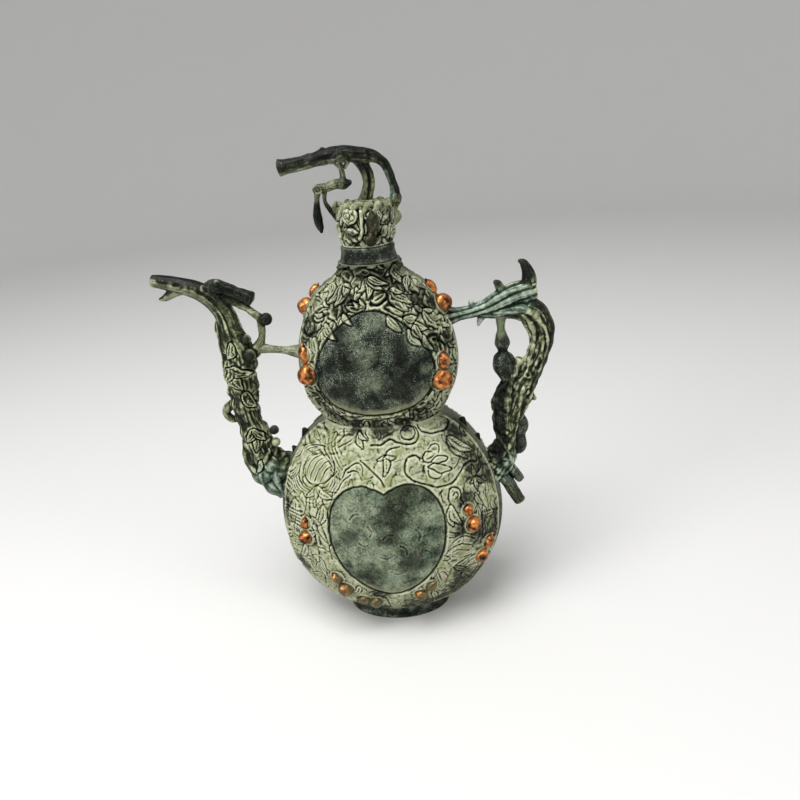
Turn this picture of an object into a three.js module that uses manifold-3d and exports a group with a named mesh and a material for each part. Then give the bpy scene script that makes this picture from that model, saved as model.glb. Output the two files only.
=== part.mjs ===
// Double gourd ewer: an oval double gourd body cast in two halves, with a branch spout, a branch handle,
// gilt gourd bosses and a lift-off lid that carries a bent branch.
// Millimetres, +Z up. The foot rests on z = 0, the spout points to -X, the handle to +X, the front is -Y.
import * as THREE from 'three';
import { mergeVertices } from 'three/addons/utils/BufferGeometryUtils.js';
import Module from 'manifold-3d';

const wasm = await Module();
wasm.setup();

// Driving dimensions
const clearance = 0.3; // solder gap between a piece and the one that it is fixed to
const seamGap = 0.2; // gap between the two halves of the body
const wall = 2.5; // body wall
const relief = 1.2; // height of the carved leaves and flowers above the bare panels and sides
const ground = 0.5; // height of the carved field's ground between them
const reliefTurn = 75; // degrees each side of the front that the carved field covers
const waistBlend = 1.6; // softens the crease between the two bulbs
const neckBlend = 4.5; // softens the meeting of upper bulb and neck

const lower = { width: 114, depth: 75, middle: 57, rise: 63, drop: 57 };
const upper = { width: 76, depth: 53, middle: 138, rise: 48, drop: 36 };
const neck = { width: 28.4, top: 187, mouth: 22.4, slope: 16.6 };
const foot = { width: 54, depth: 37, height: 6, taper: 2.4, wall: 3.4, plate: 2 };
const collar = { lipWidth: 25.4, width: 23.8, bore: 18.8, height: 6.6, lip: 1.4, spigot: 6 };
const lid = { width: 25.6, base: 23, height: 16.6, dome: 3, hollow: 13.5 };
const plug = { wall: 1.6, depth: 8, seat: 4 };
const lidPlay = 0.4; // running gap all round between the lid's plug and the collar

const roundSides = 32;
const lidSides = 20;
const bodyLevels = 26;
const hollowLevels = 16;
const far = 200; // reaches past every piece

// Finishes
const carvedFinish = { color: '#a9af8f', roughness: 0.75, metalness: 0.25 };
const darkFinish = { color: '#34383a', roughness: 0.55, metalness: 0.6 };
const branchFinish = { color: '#3b4034', roughness: 0.6, metalness: 0.55 };
const tealFinish = { color: '#7fa39a', roughness: 0.65, metalness: 0.35 };
const giltFinish = { color: '#d98d42', roughness: 0.3, metalness: 0.95 };

// Solids

// Turns a closed geometry into a solid whose faces point out
function solid(geometry) {
  const bare = geometry.clone();
  bare.deleteAttribute('normal');
  bare.deleteAttribute('uv');
  const merged = mergeVertices(bare, 1e-4);
  const points = merged.attributes.position;
  const corners = [];
  let volume = 0;
  const [a, b, c] = [new THREE.Vector3(), new THREE.Vector3(), new THREE.Vector3()];
  for (let i = 0; i < merged.index.count; i += 3) {
    const ids = [merged.index.getX(i), merged.index.getX(i + 1), merged.index.getX(i + 2)];
    if (new Set(ids).size === 3) {
      corners.push(...ids);
      a.fromBufferAttribute(points, ids[0]);
      b.fromBufferAttribute(points, ids[1]);
      c.fromBufferAttribute(points, ids[2]);
      volume += a.dot(b.cross(c));
    }
  }
  if (volume < 0) corners.reverse();
  return new wasm.Manifold(
    new wasm.Mesh({
      numProp: 3,
      vertProperties: new Float32Array(points.array),
      triVerts: new Uint32Array(corners),
    }),
  );
}

function join(solids) {
  return solids.reduce((whole, next) => whole.add(next));
}

// Turns a solid back into a named mesh with its own material
function mesh(name, shape, finish) {
  const result = shape.getMesh();
  const geometry = new THREE.BufferGeometry();
  geometry.setAttribute('position', new THREE.BufferAttribute(new Float32Array(result.vertProperties), 3));
  geometry.setIndex(new THREE.BufferAttribute(new Uint32Array(result.triVerts), 1));
  geometry.computeVertexNormals();
  const piece = new THREE.Mesh(geometry, new THREE.MeshStandardMaterial(finish));
  piece.name = name;
  return piece;
}

// A round turned solid from [radius, height] points that start and end on the axis or close on themselves
function turned(outline, sides = roundSides) {
  const geometry = new THREE.LatheGeometry(outline.map(([r, z]) => new THREE.Vector2(r, z)), sides);
  geometry.rotateX(Math.PI / 2);
  return solid(geometry);
}

// The same with an oval section: each level has a height and a half width and half depth
function ovalTurned(levels, sides = roundSides) {
  const geometry = new THREE.LatheGeometry(levels.map(({ z, a }) => new THREE.Vector2(a, z)), sides);
  geometry.rotateX(Math.PI / 2);
  const position = geometry.attributes.position;
  for (let i = 0; i < position.count; i += 1) {
    const { a, b } = levels[i % levels.length];
    if (a > 0) position.setY(i, (position.getY(i) * b) / a);
  }
  return solid(geometry);
}

// A block from its lowest to its highest corner
function block(low, high) {
  const size = high.map((value, i) => value - low[i]);
  const geometry = new THREE.BoxGeometry(...size);
  geometry.translate(...low.map((value, i) => value + size[i] / 2));
  return solid(geometry);
}

// A branch that swells and tapers: a stick bent along a curve through [x, y, z, radius] stations
function branch(stations, { grow = 0, sides = 10, steps = 2 * stations.length, deep = 1 } = {}) {
  const points = stations.map(([x, y, z]) => new THREE.Vector3(x, y, z));
  const path = new THREE.CatmullRomCurve3(points, false, 'centripetal');
  const frames = path.computeFrenetFrames(steps);
  const stick = new THREE.CylinderGeometry(1, 1, 1, sides, steps);
  const position = stick.attributes.position;
  const point = new THREE.Vector3();
  for (let i = 0; i < position.count; i += 1) {
    const along = position.getY(i) + 0.5;
    const frame = Math.round(along * steps);
    const place = path.getUtoTmapping(along) * (stations.length - 1);
    const first = Math.min(Math.floor(place), stations.length - 2);
    const radius = THREE.MathUtils.lerp(stations[first][3], stations[first + 1][3], place - first) + grow;
    point.copy(path.getPointAt(along));
    point.addScaledVector(frames.normals[frame], position.getX(i) * radius);
    point.addScaledVector(frames.binormals[frame], position.getZ(i) * radius);
    point.y = stations[first][1] + (point.y - stations[first][1]) * deep;
    position.setXYZ(i, point.x, point.y, point.z);
  }
  return solid(stick);
}

function ball([x, y, z], radius, sides = 8) {
  const geometry = new THREE.SphereGeometry(radius, sides, sides - 3);
  geometry.translate(x, y, z);
  return solid(geometry);
}

// Body

function bulbHalf(bulb, half, z) {
  const reach = z > bulb.middle ? bulb.rise : bulb.drop;
  const share = (z - bulb.middle) / reach;
  return half * Math.sqrt(Math.max(0, 1 - share * share));
}

// The larger of two sizes, rounded where they meet
function blend(first, second, round) {
  return (first + second + Math.hypot(first - second, round)) / 2;
}

// Half width a and half depth b of the body's bare outside at a height
function bodyAt(z) {
  const half = (size) => {
    const bulbs = blend(bulbHalf(lower, lower[size] / 2, z), bulbHalf(upper, upper[size] / 2, z), waistBlend);
    return blend(bulbs, neck.width / 2, neckBlend);
  };
  const easing = THREE.MathUtils.smoothstep(z, neck.top - neck.slope, neck.top);
  const a = THREE.MathUtils.lerp(half('width'), neck.width / 2, easing * easing);
  const b = THREE.MathUtils.lerp(half('depth'), neck.width / 2, easing * easing);
  return { z, a, b };
}

function bodyHeights(count) {
  return Array.from({ length: count + 1 }, (_, i) => THREE.MathUtils.lerp(foot.height, neck.top, i / count));
}

// The body's outside as a full solid, grown outwards all round
function bodySolid(grow, low = 0, high = 0) {
  const levels = bodyHeights(bodyLevels).map((z) => {
    const { a, b } = bodyAt(z);
    return { z, a: a + grow, b: b + grow };
  });
  levels[0].z -= low;
  levels[levels.length - 1].z += high;
  const [bottom, top] = [levels[0], levels[levels.length - 1]];
  return ovalTurned([{ ...bottom, a: 0 }, ...levels, { ...top, a: 0 }]);
}

// The hollow of the body, open at the neck and at the foot
function bodyHollow() {
  const levels = bodyHeights(hollowLevels).map((z) => {
    const { a, b } = bodyAt(z);
    return { z, a: Math.max(a - wall, neck.mouth / 2), b: Math.max(b - wall, neck.mouth / 2) };
  });
  levels[0].z -= wall;
  levels[levels.length - 1].z += wall;
  const [bottom, top] = [levels[0], levels[levels.length - 1]];
  return ovalTurned([{ ...bottom, a: 0 }, ...levels, { ...top, a: 0 }]);
}

// A wedge open to the front that holds the carved field between its two ridges
function frontWedge(turn) {
  const side = far * Math.tan(THREE.MathUtils.degToRad(turn));
  const corners = [[0, 0], [-side, -far], [side, -far]].map(([x, y]) => new THREE.Vector2(x, y));
  const depth = neck.top + far;
  const geometry = new THREE.ExtrudeGeometry(new THREE.Shape(corners), { depth, bevelEnabled: false });
  geometry.translate(0, 0, -far / 2);
  return solid(geometry);
}

// Half outlines of the two bare panels: [across, height] as shares of the bulb's half width, rise and drop
const roundPanel = [
  [0, 0.64], [0.15, 0.58], [0.28, 0.52], [0.42, 0.42], [0.6, 0.27], [0.69, 0.14],
  [0.7, -0.04], [0.64, -0.22], [0.49, -0.38], [0.25, -0.47], [0, -0.49],
];
const peachPanel = [
  [0, 0.43], [0.09, 0.47], [0.2, 0.49], [0.34, 0.44], [0.445, 0.32], [0.485, 0.14],
  [0.485, -0.04], [0.45, -0.22], [0.355, -0.37], [0.235, -0.48], [0.1, -0.53], [0, -0.535],
];

const panelLip = 3; // growth of a bulb's half sizes that gives its panel a raised edge

// A panel's outline, or one grown outwards, pushed through the front wall
function panelCut(bulb, halfOutline, grow = 0) {
  const place = ([across, up]) => new THREE.Vector2(
    across * (bulb.width / 2 + grow),
    bulb.middle + up * ((up > 0 ? bulb.rise : bulb.drop) + grow),
  );
  const right = halfOutline.map(place);
  const left = right.slice(1, -1).reverse().map((point) => new THREE.Vector2(-point.x, point.y));
  const shape = new THREE.Shape([...right, ...left]);
  const geometry = new THREE.ExtrudeGeometry(shape, { depth: far, bevelEnabled: false });
  geometry.rotateX(Math.PI / 2);
  return solid(geometry);
}

function panels(grow) {
  return join([panelCut(upper, roundPanel, grow), panelCut(lower, peachPanel, grow)]);
}

// A point over the body's front at a turn from the front and a height
function surfacePoint(turn, z, grow) {
  const angle = THREE.MathUtils.degToRad(turn);
  const { a, b } = bodyAt(z);
  return new THREE.Vector3((a + grow) * Math.sin(angle), -(b + grow) * Math.cos(angle), z);
}

// The direction straight out of the body there
function surfaceNormal(turn, z) {
  const across = surfacePoint(turn + 1, z, 0).sub(surfacePoint(turn - 1, z, 0));
  const up = surfacePoint(turn, z + 1, 0).sub(surfacePoint(turn, z - 1, 0));
  return across.cross(up).normalize();
}

// A post through the wall on an outline of [along, across], from one [turn, height] towards another
function post(from, to, outlineFor) {
  const [start, end] = [from, to].map(([turn, z]) => surfacePoint(turn, z, 0));
  const normal = surfaceNormal((from[0] + to[0]) / 2, (from[1] + to[1]) / 2);
  const along = end.clone().sub(start);
  const outline = outlineFor(along.length());
  const across = normal.clone().cross(along).normalize();
  const straight = across.clone().cross(normal);
  const shape = new THREE.Shape(outline.map(([x, y]) => new THREE.Vector2(x, y)));
  const geometry = new THREE.ExtrudeGeometry(shape, { depth: 4 * wall, bevelEnabled: false });
  geometry.translate(0, 0, -2 * wall);
  geometry.applyMatrix4(new THREE.Matrix4().makeBasis(straight, across, normal).setPosition(start));
  return solid(geometry);
}

// Main leaves of the carving, each from the [turn, height] of its base to that of its tip
const leaves = [
  // lower bulb: right of the panel
  [[52.9, 103.4], [67.8, 94]], [[38, 108.6], [60, 108.8]], [[56.6, 83.2], [66.6, 88]],
  [[56.6, 83.2], [58, 74.5]], [[34.3, 74.3], [36.5, 61.5]], [[34.7, 39.5], [51.5, 43.9]],
  // left of the panel
  [[-33, 77.4], [-29.2, 58]], [[-39.8, 85.6], [-46, 75.5]], [[-46.9, 53.3], [-42.5, 43]],
  [[-60, 68], [-62, 55]], [[-36, 115], [-36, 104]],
  // over and under the panel
  [[2.5, 102.7], [1.1, 91.6]], [[-11, 92], [-23.3, 95]], [[2, 20], [2, 11]],
  // upper bulb
  [[2.4, 181.9], [-12.1, 174.2]], [[2.4, 181.9], [16.7, 174.1]], [[-35.3, 180.2], [-42.6, 169.9]],
  [[53.1, 185.4], [33.8, 177.3]], [[63.4, 179.3], [52.1, 171]], [[24.6, 176.7], [30.6, 166]],
  [[27.8, 164.5], [36.3, 151.9]], [[49.9, 166.1], [61.4, 156]], [[-2.9, 170.4], [-20.1, 168.6]],
  [[-35.2, 163.2], [-37.7, 149]], [[-55.4, 176.8], [-58, 163]],
];
const leafBroad = 0.25; // half width of a leaf against its length
const flowers = [[-42, 93, 7.4], [34.1, 94.2, 6.6]]; // [turn, height, radius]

function leafPost([base, tip]) {
  return post(base, tip, (length) => {
    const half = leafBroad * length;
    return [[0, 0], [0.3 * length, half], [0.7 * length, 0.8 * half], [length, 0], [0.45 * length, -half]];
  });
}

function flowerPost([turn, z, radius]) {
  const sides = 7;
  return post([turn, z], [turn, z + radius], () => Array.from({ length: sides }, (_, i) => {
    const angle = (2 * i * Math.PI) / sides;
    return [radius * Math.cos(angle), radius * Math.sin(angle)];
  }));
}

const halfTurn = [0, 0, 180];
const mouthBore = turned([[0, neck.top - far / 10], [neck.mouth / 2, neck.top - far / 10],
  [neck.mouth / 2, neck.top + far / 10], [0, neck.top + far / 10]]);

// The seat of a boss stands at the full height of the carving
function bossSeat([largeTurn, largeZ, large, smallTurn, smallZ, small]) {
  return post([largeTurn, largeZ], [smallTurn, smallZ], (length) => {
    const [foot, head] = [-0.8 * large, length + 0.8 * small];
    return [[foot, large], [head, small], [head, -small], [foot, -large]];
  });
}

// The front half with its carved field, before the spout's hole
function frontHalf() {
  const forms = [...leaves.map(leafPost), ...flowers.map(flowerPost), ...bosses.map(bossSeat)];
  const raised = join([panels(panelLip), ...forms]);
  const field = join([bodySolid(ground), raised.intersect(bodySolid(relief))]);
  const carved = field.intersect(frontWedge(reliefTurn)).subtract(panels(0));
  const front = block([-far, -far, -far], [far, -seamGap / 2, far]);
  return join([bodySolid(0), carved]).subtract(bodyHollow()).subtract(mouthBore).intersect(front);
}

// Everything that stands on the body is cut back to this, so that it keeps its solder gap
const fieldGrow = relief + clearance;
const ridgeMargin = 1; // degrees that the gap reaches past the ridge of the carved field
const keepoutWedge = frontWedge(reliefTurn + ridgeMargin);
const frontKeepout = bodySolid(fieldGrow, clearance, clearance).intersect(keepoutWedge);
const bareKeepout = bodySolid(clearance, clearance, clearance);
const bodyKeepout = join([bareKeepout, frontKeepout, frontKeepout.rotate(halfTurn)]);

// Foot and neck

// A stack of oval levels, each [height, half width, half depth], closed below and above
function ovalStack(levels) {
  const [bottom, top] = [levels[0], levels[levels.length - 1]];
  const rows = [[bottom[0], 0, 0], ...levels, [top[0], 0, 0]];
  return ovalTurned(rows.map(([z, a, b]) => ({ z, a, b })));
}

function footRing() {
  const [a, b] = [foot.width / 2, foot.depth / 2];
  const top = foot.height - clearance;
  const rise = foot.taper / 2;
  const hole = [a - foot.wall, b - foot.wall];
  const outer = ovalStack([[0, a, b], [top, a - rise, b - rise]]);
  return outer.subtract(ovalStack([[-foot.wall, ...hole], [top + foot.wall, ...hole]]));
}

// The plate lies flush with the ring's underside, and closes the vessel
function basePlate() {
  const edge = [foot.width, foot.depth].map((size) => size / 2 - foot.wall - clearance);
  return ovalStack([[0, ...edge], [foot.plate, ...edge]]);
}

// The collar stands on the neck, with a spigot inside it and a lip on top
const collarFoot = neck.top + clearance;
const rim = collarFoot + collar.height;

function neckCollar() {
  const bore = collar.bore / 2;
  const spigot = neck.mouth / 2 - clearance;
  const spigotFoot = neck.top - collar.spigot;
  const side = collar.width / 2;
  const lipFoot = rim - collar.lip;
  return turned([
    [bore, spigotFoot],
    [spigot, spigotFoot],
    [spigot, collarFoot],
    [neck.width / 2 - relief, collarFoot],
    [side, collarFoot + collar.lip],
    [side, lipFoot],
    [collar.lipWidth / 2, lipFoot + collar.lip / 2],
    [side, rim],
    [bore, rim],
    [bore, spigotFoot],
  ]);
}

// Spout

// Stations of spout and handle are [distance out from the lower bulb's side, y, height, radius]
const bulbSide = lower.width / 2;

function out(side, stations) {
  return stations.map(([distance, y, z, radius]) => [side * (bulbSide + distance), y, z, radius]);
}

const spoutSide = -1;
const spoutRoot = { height: 77, radius: 12.4, sink: 4, lean: 1.5, rise: 3, taper: 0.6 };
const spoutBoreRadius = { root: 4, mouth: 1.5 };
const spoutFlat = 0.86; // front to back against side to side of the spout's trunk
const spoutTrunk = [
  [6, 0, 88, 9.6], [8.4, 0, 98, 7.6], [10.2, 0, 110, 6.7], [11.2, 0, 122, 6.8], [10.8, 0, 134, 7.8],
  [10.2, 0, 146, 7.9], [12, 0, 158, 5.6], [13.8, 0, 166.5, 4.9], [18, 0, 173, 4.7], [24.5, 0, 178, 4.4],
  [33, 0, 181, 3.9], [40.5, 0, 183, 3.4], [45.2, 0, 183.9, 2.9],
];
const spoutLowerLip = [[28, 0, 180, 2.6], [35, 0, 178.2, 2.6], [40, 0, 175.6, 1.8], [42.6, 0, 174.9, 1]];
const spoutCutStub = [[21, 0, 177.5, 2.6], [15.5, 0, 178.6, 3.4], [9, 0, 176, 3.5], [-0.4, 0, 172.6, 3.2]];
const spoutKnob = [-5.8, 0, 162.2, 2.9];
const spoutTwigs = [
  // loop from the trunk to the knob
  [
    [13, 0, 172.5, 2.4], [8, 0, 171.5, 2], [4, 0, 169, 1.9], [0.2, 0, 166, 1.9], [-3, 0, 163, 1.9],
    [-6.4, 0, 162.2, 2.4],
  ],
  // post from the loop down to the trunk
  [[-2.8, 0, 163, 1.7], [-2.9, 0, 156, 1.7], [-1.4, 0, 151, 2.3], [2, 0, 147, 3.4], [8, 0, 143, 3.6]],
  // thorn under the bend
  [[14, 0, 164, 2.4], [16.5, 0, 161, 2.6], [18.6, 0, 158, 1.2]],
  // curl half way up
  [[14, 0, 121, 2.2], [18.8, 0, 119.4, 2.3], [21.4, 0, 115.4, 2.2], [19, 0, 112, 2.2], [15, 0, 112.6, 2]],
];

// The two stations where a branch leaves the body's side
function rootStations(side, root, sinkRadius, leanRadius) {
  const body = bodyAt(root.height).a;
  return [
    [side * (body - root.sink), 0, root.height, sinkRadius],
    [side * (body + root.lean), 0, root.height + root.rise, leanRadius],
  ];
}

function spoutSolid(grow = 0) {
  const root = rootStations(spoutSide, spoutRoot, spoutRoot.radius, spoutRoot.radius - spoutRoot.taper);
  const trunk = branch([...root, ...out(spoutSide, spoutTrunk)], { grow, steps: 26, deep: spoutFlat });
  const lowerLip = branch(out(spoutSide, spoutLowerLip), { grow });
  const cutStub = branch(out(spoutSide, spoutCutStub), { grow });
  const [[x, y, z, radius]] = out(spoutSide, [spoutKnob]);
  const knob = ball([x, y, z], radius + grow);
  const twigs = spoutTwigs.map((twig) => branch(out(spoutSide, twig), { grow, sides: 6 }));
  return join([trunk, lowerLip, cutStub, knob, ...twigs]);
}

// The way that the drink takes, from inside the body to the tip of the upper lip
function spoutBore() {
  const { root, mouth } = spoutBoreRadius;
  const last = spoutTrunk.length - 1;
  const inBody = { ...spoutRoot, sink: 4 * wall };
  const trunk = out(spoutSide, spoutTrunk);
  const inTrunk = trunk.map(([x, y, z], i) => [x, y, z, THREE.MathUtils.lerp(root, mouth, i / last)]);
  const [tipX, tipY, tipZ, tipRadius] = trunk[last];
  const end = [tipX + spoutSide * (tipRadius + mouth), tipY, tipZ, mouth];
  return branch([...rootStations(spoutSide, inBody, root, root), ...inTrunk, end], { sides: 6, steps: 20 });
}

// The brace runs from the loop's post to the side of the upper bulb
const brace = { height: 148.4, spoutEnd: 1.4, fall: 3.2, start: 3, middle: 1.9, end: 3.6 };

function braceSolid(grow = 0) {
  const from = -(bulbSide + brace.spoutEnd) - grow;
  const to = -(bodyAt(brace.height - brace.fall).a - 4 * clearance);
  const station = (share, radius) => [
    THREE.MathUtils.lerp(from, to, share),
    0,
    brace.height - share * brace.fall,
    radius,
  ];
  const middle = [station(0.35, brace.middle), station(0.65, brace.middle)];
  return branch([station(0, brace.start), ...middle, station(1, brace.end)], { grow, sides: 8, steps: 8 });
}

// Handle

const handleSide = 1;
const bar = { height: 158.2, sink: 2, lean: 3, rise: 0.4, rootRadius: 5.4, neckRadius: 3.6 };
const handleRoot = { height: 78, sink: 4, lean: 2.6, rise: 5.4, radius: 8.5, neckRadius: 7.4 };
const handleFlat = 0.9; // front to back against side to side of bow and trunk
const handleBar = [
  [-13, 0, 159.5, 3.1], [-5, 0, 161.4, 4], [1, 0, 163.8, 5], [7, 0, 166.2, 5.4], [12, 0, 167.4, 5.4],
  [16.6, 0, 168.2, 4.6],
];
const handleBow = [
  [-8, 0, 159, 2.2], [-1, 0, 158.8, 3.4], [5, 0, 159.8, 4.8], [11, 0, 160, 6], [16, 0, 157.6, 6.3],
  [19.4, 0, 151.6, 6], [20.4, 0, 145, 5.5], [19, 0, 139, 5.3], [16.4, 0, 132.5, 5.3], [13.2, 0, 126, 5.9],
  [10, 0, 119.5, 6.6], [7.2, 0, 112.5, 6.2], [5, 0, 105, 5],
];
const handleTrunk = [
  [6, 0, 127, 2.8], [4.4, 0, 122, 4.6], [3, 0, 116, 6], [2.6, 0, 108, 6.2], [3, 0, 99, 6], [2.4, 0, 91, 6],
];
const handleTwigs = [
  // horn on top of the bow
  [[12, 0, 168, 3.6], [14.4, 0, 172, 2.9], [13.8, 0, 176, 2.6], [13.2, 0, 180, 1.9], [12.8, 0, 182.4, 0.8]],
  // knob beside the horn
  [[3.4, 0, 167, 2.6], [1.4, 0, 171, 2.1], [0.6, 0, 174, 1.4]],
  // thorns above and below the bar
  [[-10, 0, 160.5, 2], [-11.6, 0, 163.2, 1.5], [-12, 0, 165, 0.7]],
  [[-6, 0, 158.6, 2], [-8, 0, 155.4, 1.5], [-8.8, 0, 153, 0.7]],
  // spike outside the bow
  [[12, 0, 120, 3], [14.6, 0, 117, 2.2], [16.8, 0, 114.6, 1]],
  // strand inside the bow
  [[10.6, 0, 135, 2.4], [8.4, 0, 130, 3], [6, 0, 125, 3.4]],
];
// The two stubs at the root: heights here count from the root's own height
const thinStub = [[-3.3, 0, 8, 2.4], [4.4, 0, 0, 2.3], [8.2, 0, -5.4, 2.3], [10, 0, -8, 2]];
const cutStub = [[-4.5, 0, 2, 3.6], [2.6, 0, -8, 3.3], [6, 0, -14.6, 3.2], [9.2, 0, -20.2, 3.2]];

function handleSolid(grow = 0) {
  const barRoot = rootStations(handleSide, bar, bar.rootRadius, bar.neckRadius);
  const barBranch = branch([...barRoot, ...out(handleSide, handleBar)], { grow, steps: 14 });
  const bow = branch(out(handleSide, handleBow), { grow, steps: 20, deep: handleFlat });
  const root = rootStations(handleSide, handleRoot, handleRoot.radius, handleRoot.neckRadius).reverse();
  const trunk = branch([...out(handleSide, handleTrunk), ...root], { grow, steps: 15, deep: handleFlat });
  const fromRoot = (stations) => stations.map(([x, y, z, radius]) => [x, y, handleRoot.height + z, radius]);
  const stations = [...handleTwigs, fromRoot(thinStub), fromRoot(cutStub)];
  const twigs = stations.map((twig) => branch(out(handleSide, twig), { grow, sides: 6 }));
  return join([barBranch, bow, trunk, ...twigs]);
}

// The gourd that hangs in the handle's loop, from its stalk down
const pendantStations = [
  [1.6, 0, 157, 2.8], [1.6, 0, 150.6, 2], [1.9, 0, 146.6, 3.2], [2.1, 0, 143.2, 3.7], [2.2, 0, 139.6, 2.3],
  [2.4, 0, 136.6, 4.7], [2.8, 0, 132.6, 5.6], [3.4, 0, 128.6, 4.6], [3.9, 0, 124, 2.4],
];

// The two dark gourds behind the handle's trunk
const outerStations = [
  [8.6, 2, 107, 1.2], [9, 2, 103.4, 4], [9.4, 2, 99, 5], [9.3, 2, 95, 3.5], [9.1, 2, 92.2, 4],
  [8.8, 2, 88.6, 4.5], [8.4, 2, 85.6, 3.2], [8.2, 2, 84, 0.8],
];

function handleGourds(stations) {
  return branch(out(handleSide, stations), { sides: 8, steps: 2 * stations.length - 2 });
}

// Gilt gourd bosses

const stalkReach = 1.25; // height of a boss's tip over its small lobe's centre, in lobe radii

// The outline of a small gourd: a large lobe at the origin, a small lobe above it and a stalk
function gourdOutline(large, small, spacing) {
  const arc = (centre, radius, from, to, count) => Array.from({ length: count }, (_, i) => {
    const angle = THREE.MathUtils.degToRad(THREE.MathUtils.lerp(from, to, i / (count - 1)));
    return [radius * Math.cos(angle), centre + radius * Math.sin(angle)];
  });
  const body = [...arc(0, large, -60, 50, 4), ...arc(spacing, small, -30, 50, 3)];
  return [[0, -large], ...body, [0, spacing + stalkReach * small]];
}

// Each boss is [turn of large lobe, its height, its radius, turn of small lobe, its height, its radius]
const bosses = [
  [-53, 139.5, 4.9, -57, 148.2, 3.2],
  [50.5, 134, 4.9, 53, 142.6, 3.2],
  [80, 165.4, 4.2, 81, 172.6, 2.9],
  [-45, 58.6, 3.4, -44.6, 66.4, 2.6],
  [45.5, 62, 3.7, 43.5, 70, 2.7],
  [53.5, 41, 3.5, 57.5, 48, 2.8],
  [-28, 29.8, 4, -30.6, 37, 3],
  [-12, 20.6, 3.3, -19.5, 22, 2.6],
  [16.4, 25.6, 3.3, 21.6, 31, 2.6],
];

function bossSolid([largeTurn, largeZ, large, smallTurn, smallZ, small], grow = 0) {
  const base = surfacePoint(largeTurn, largeZ, relief);
  const top = surfacePoint(smallTurn, smallZ, relief);
  const along = top.clone().sub(base);
  const outline = gourdOutline(large + grow, small + grow, along.length());
  const geometry = new THREE.LatheGeometry(outline.map(([r, y]) => new THREE.Vector2(r, y)), 8);
  const turn = new THREE.Quaternion().setFromUnitVectors(new THREE.Vector3(0, 1, 0), along.normalize());
  geometry.applyQuaternion(turn);
  geometry.translate(base.x, base.y, base.z);
  return solid(geometry);
}

// Lid, all heights counted from the collar's rim

const lidFoot = rim + clearance;
const plugOuter = collar.bore / 2 - lidPlay;

function lidOutline(grow) {
  const half = lid.width / 2 + grow;
  const base = lid.base / 2 + grow;
  const shoulder = lidFoot + lid.height;
  return [
    [0, lidFoot - grow],
    [base, lidFoot - grow],
    [half, lidFoot + 0.35 * lid.height],
    [half, lidFoot + 0.7 * lid.height],
    [0.95 * half, shoulder],
    [0.6 * half, shoulder + 0.7 * lid.dome + grow],
    [0, shoulder + lid.dome + grow],
  ];
}

// A bud on the right of the lid and a thorn on its left, as [distance out from its side, y, height, radius]
const lidBud = [[-2, 0, 8, 1.6], [0, 0, 9, 2], [1.4, 0, 11, 2], [0.8, 0, 13.6, 1]];
const lidThorn = [[-2.5, 0, 14, 1.8], [0.2, 0, 16.2, 1.3], [-0.6, 0, 19.2, 0.6]];

function lidBuds(grow = 0) {
  const half = lid.width / 2;
  const beside = (side, stations) => {
    const placed = stations.map(([x, y, z, radius]) => [side * (half + x), y, lidFoot + z, radius]);
    return branch(placed, { grow, sides: 6 });
  };
  return join([beside(1, lidBud), beside(-1, lidThorn)]);
}

function lidCup() {
  const hollow = plugOuter + clearance;
  const top = lidFoot + lid.hollow;
  const under = lidFoot - wall;
  const inside = turned([[0, under], [hollow, under], [hollow, top], [0, top]], lidSides);
  return join([turned(lidOutline(0), lidSides), lidBuds()]).subtract(inside);
}

function lidPlug() {
  const inner = plugOuter - plug.wall;
  const [low, high] = [lidFoot - plug.depth, lidFoot + plug.seat];
  return turned([[inner, low], [plugOuter, low], [plugOuter, high], [inner, high], [inner, low]], lidSides);
}

// Stations over the lid are [x, y, height over the rim, radius]
const finialStem = [
  [-35.6, 0, 35.2, 3.7], [-29, 0, 36, 3.3], [-21, 0, 37.2, 3.3], [-14, 0, 38.4, 3.7], [-7, 0, 38.9, 3.9],
  [0, 0, 38, 3.6], [5.8, 0, 37, 2.8], [10, 0, 34.2, 2.3], [12.2, 0, 30, 2.1], [13.5, 0, 25, 2],
  [14.1, 0, 21, 2.4], [14, 0, 18.4, 2.6], [13.2, 0, 15.2, 1.6], [11.6, 0, 11.6, 1.5],
];
const finialStalks = [
  [[-1.6, -1, 36, 1.5], [0.6, -1, 32, 1.3], [1.8, -1, 27.6, 1.3], [1.2, -1, 23.4, 1.4], [-0.6, -1, 18.6, 2]],
  [[0.6, 0.9, 36, 1.5], [2.8, 0.9, 32, 1.3], [4, 0.9, 27.6, 1.3], [3.4, 0.9, 23.4, 1.4], [1.6, 0.9, 18.6, 2]],
];
const tendrilHook = [
  [-9.6, 0, 36, 2.2], [-9.2, 0, 32.6, 1.4], [-9, 0, 29, 1.3], [-10.8, 0, 27, 1.9], [-14.4, 0, 25.8, 1.9],
  [-18, 0, 25.6, 1.9], [-20.4, 0, 24.6, 1.9],
];
const tendrilStub = [[-12, 0, 26.4, 1.6], [-8.6, 0, 26.8, 2], [-6.6, 0, 27.2, 1.2]];
const tendrilCurl = [-19.2, 0, 25.4, 2.6];
const tendrilPod = [
  [-19.6, 0, 25, 1.9], [-20.2, 0, 20.8, 1.4], [-21, 0, 16.4, 1.7], [-21, 0, 12, 2], [-20.4, 0, 8, 1.6],
  [-20.2, 0, 7, 0.8],
];
const tendrilLink = [
  [-16.4, 0.4, 24.8, 1.2], [-17.2, 0.6, 20, 1], [-15.6, 0.6, 16.6, 1], [-13.4, 0.4, 13.6, 1.2],
  [-11.4, 0, 10.6, 1.4],
];

function overRim(stations) {
  return stations.map(([x, y, z, radius]) => [x, y, rim + z, radius]);
}

function finialSolid(grow = 0) {
  const stem = branch(overRim(finialStem), { grow, sides: 8, steps: 24 });
  return join([stem, ...finialStalks.map((stalk) => branch(overRim(stalk), { grow, sides: 6 }))]);
}

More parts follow.
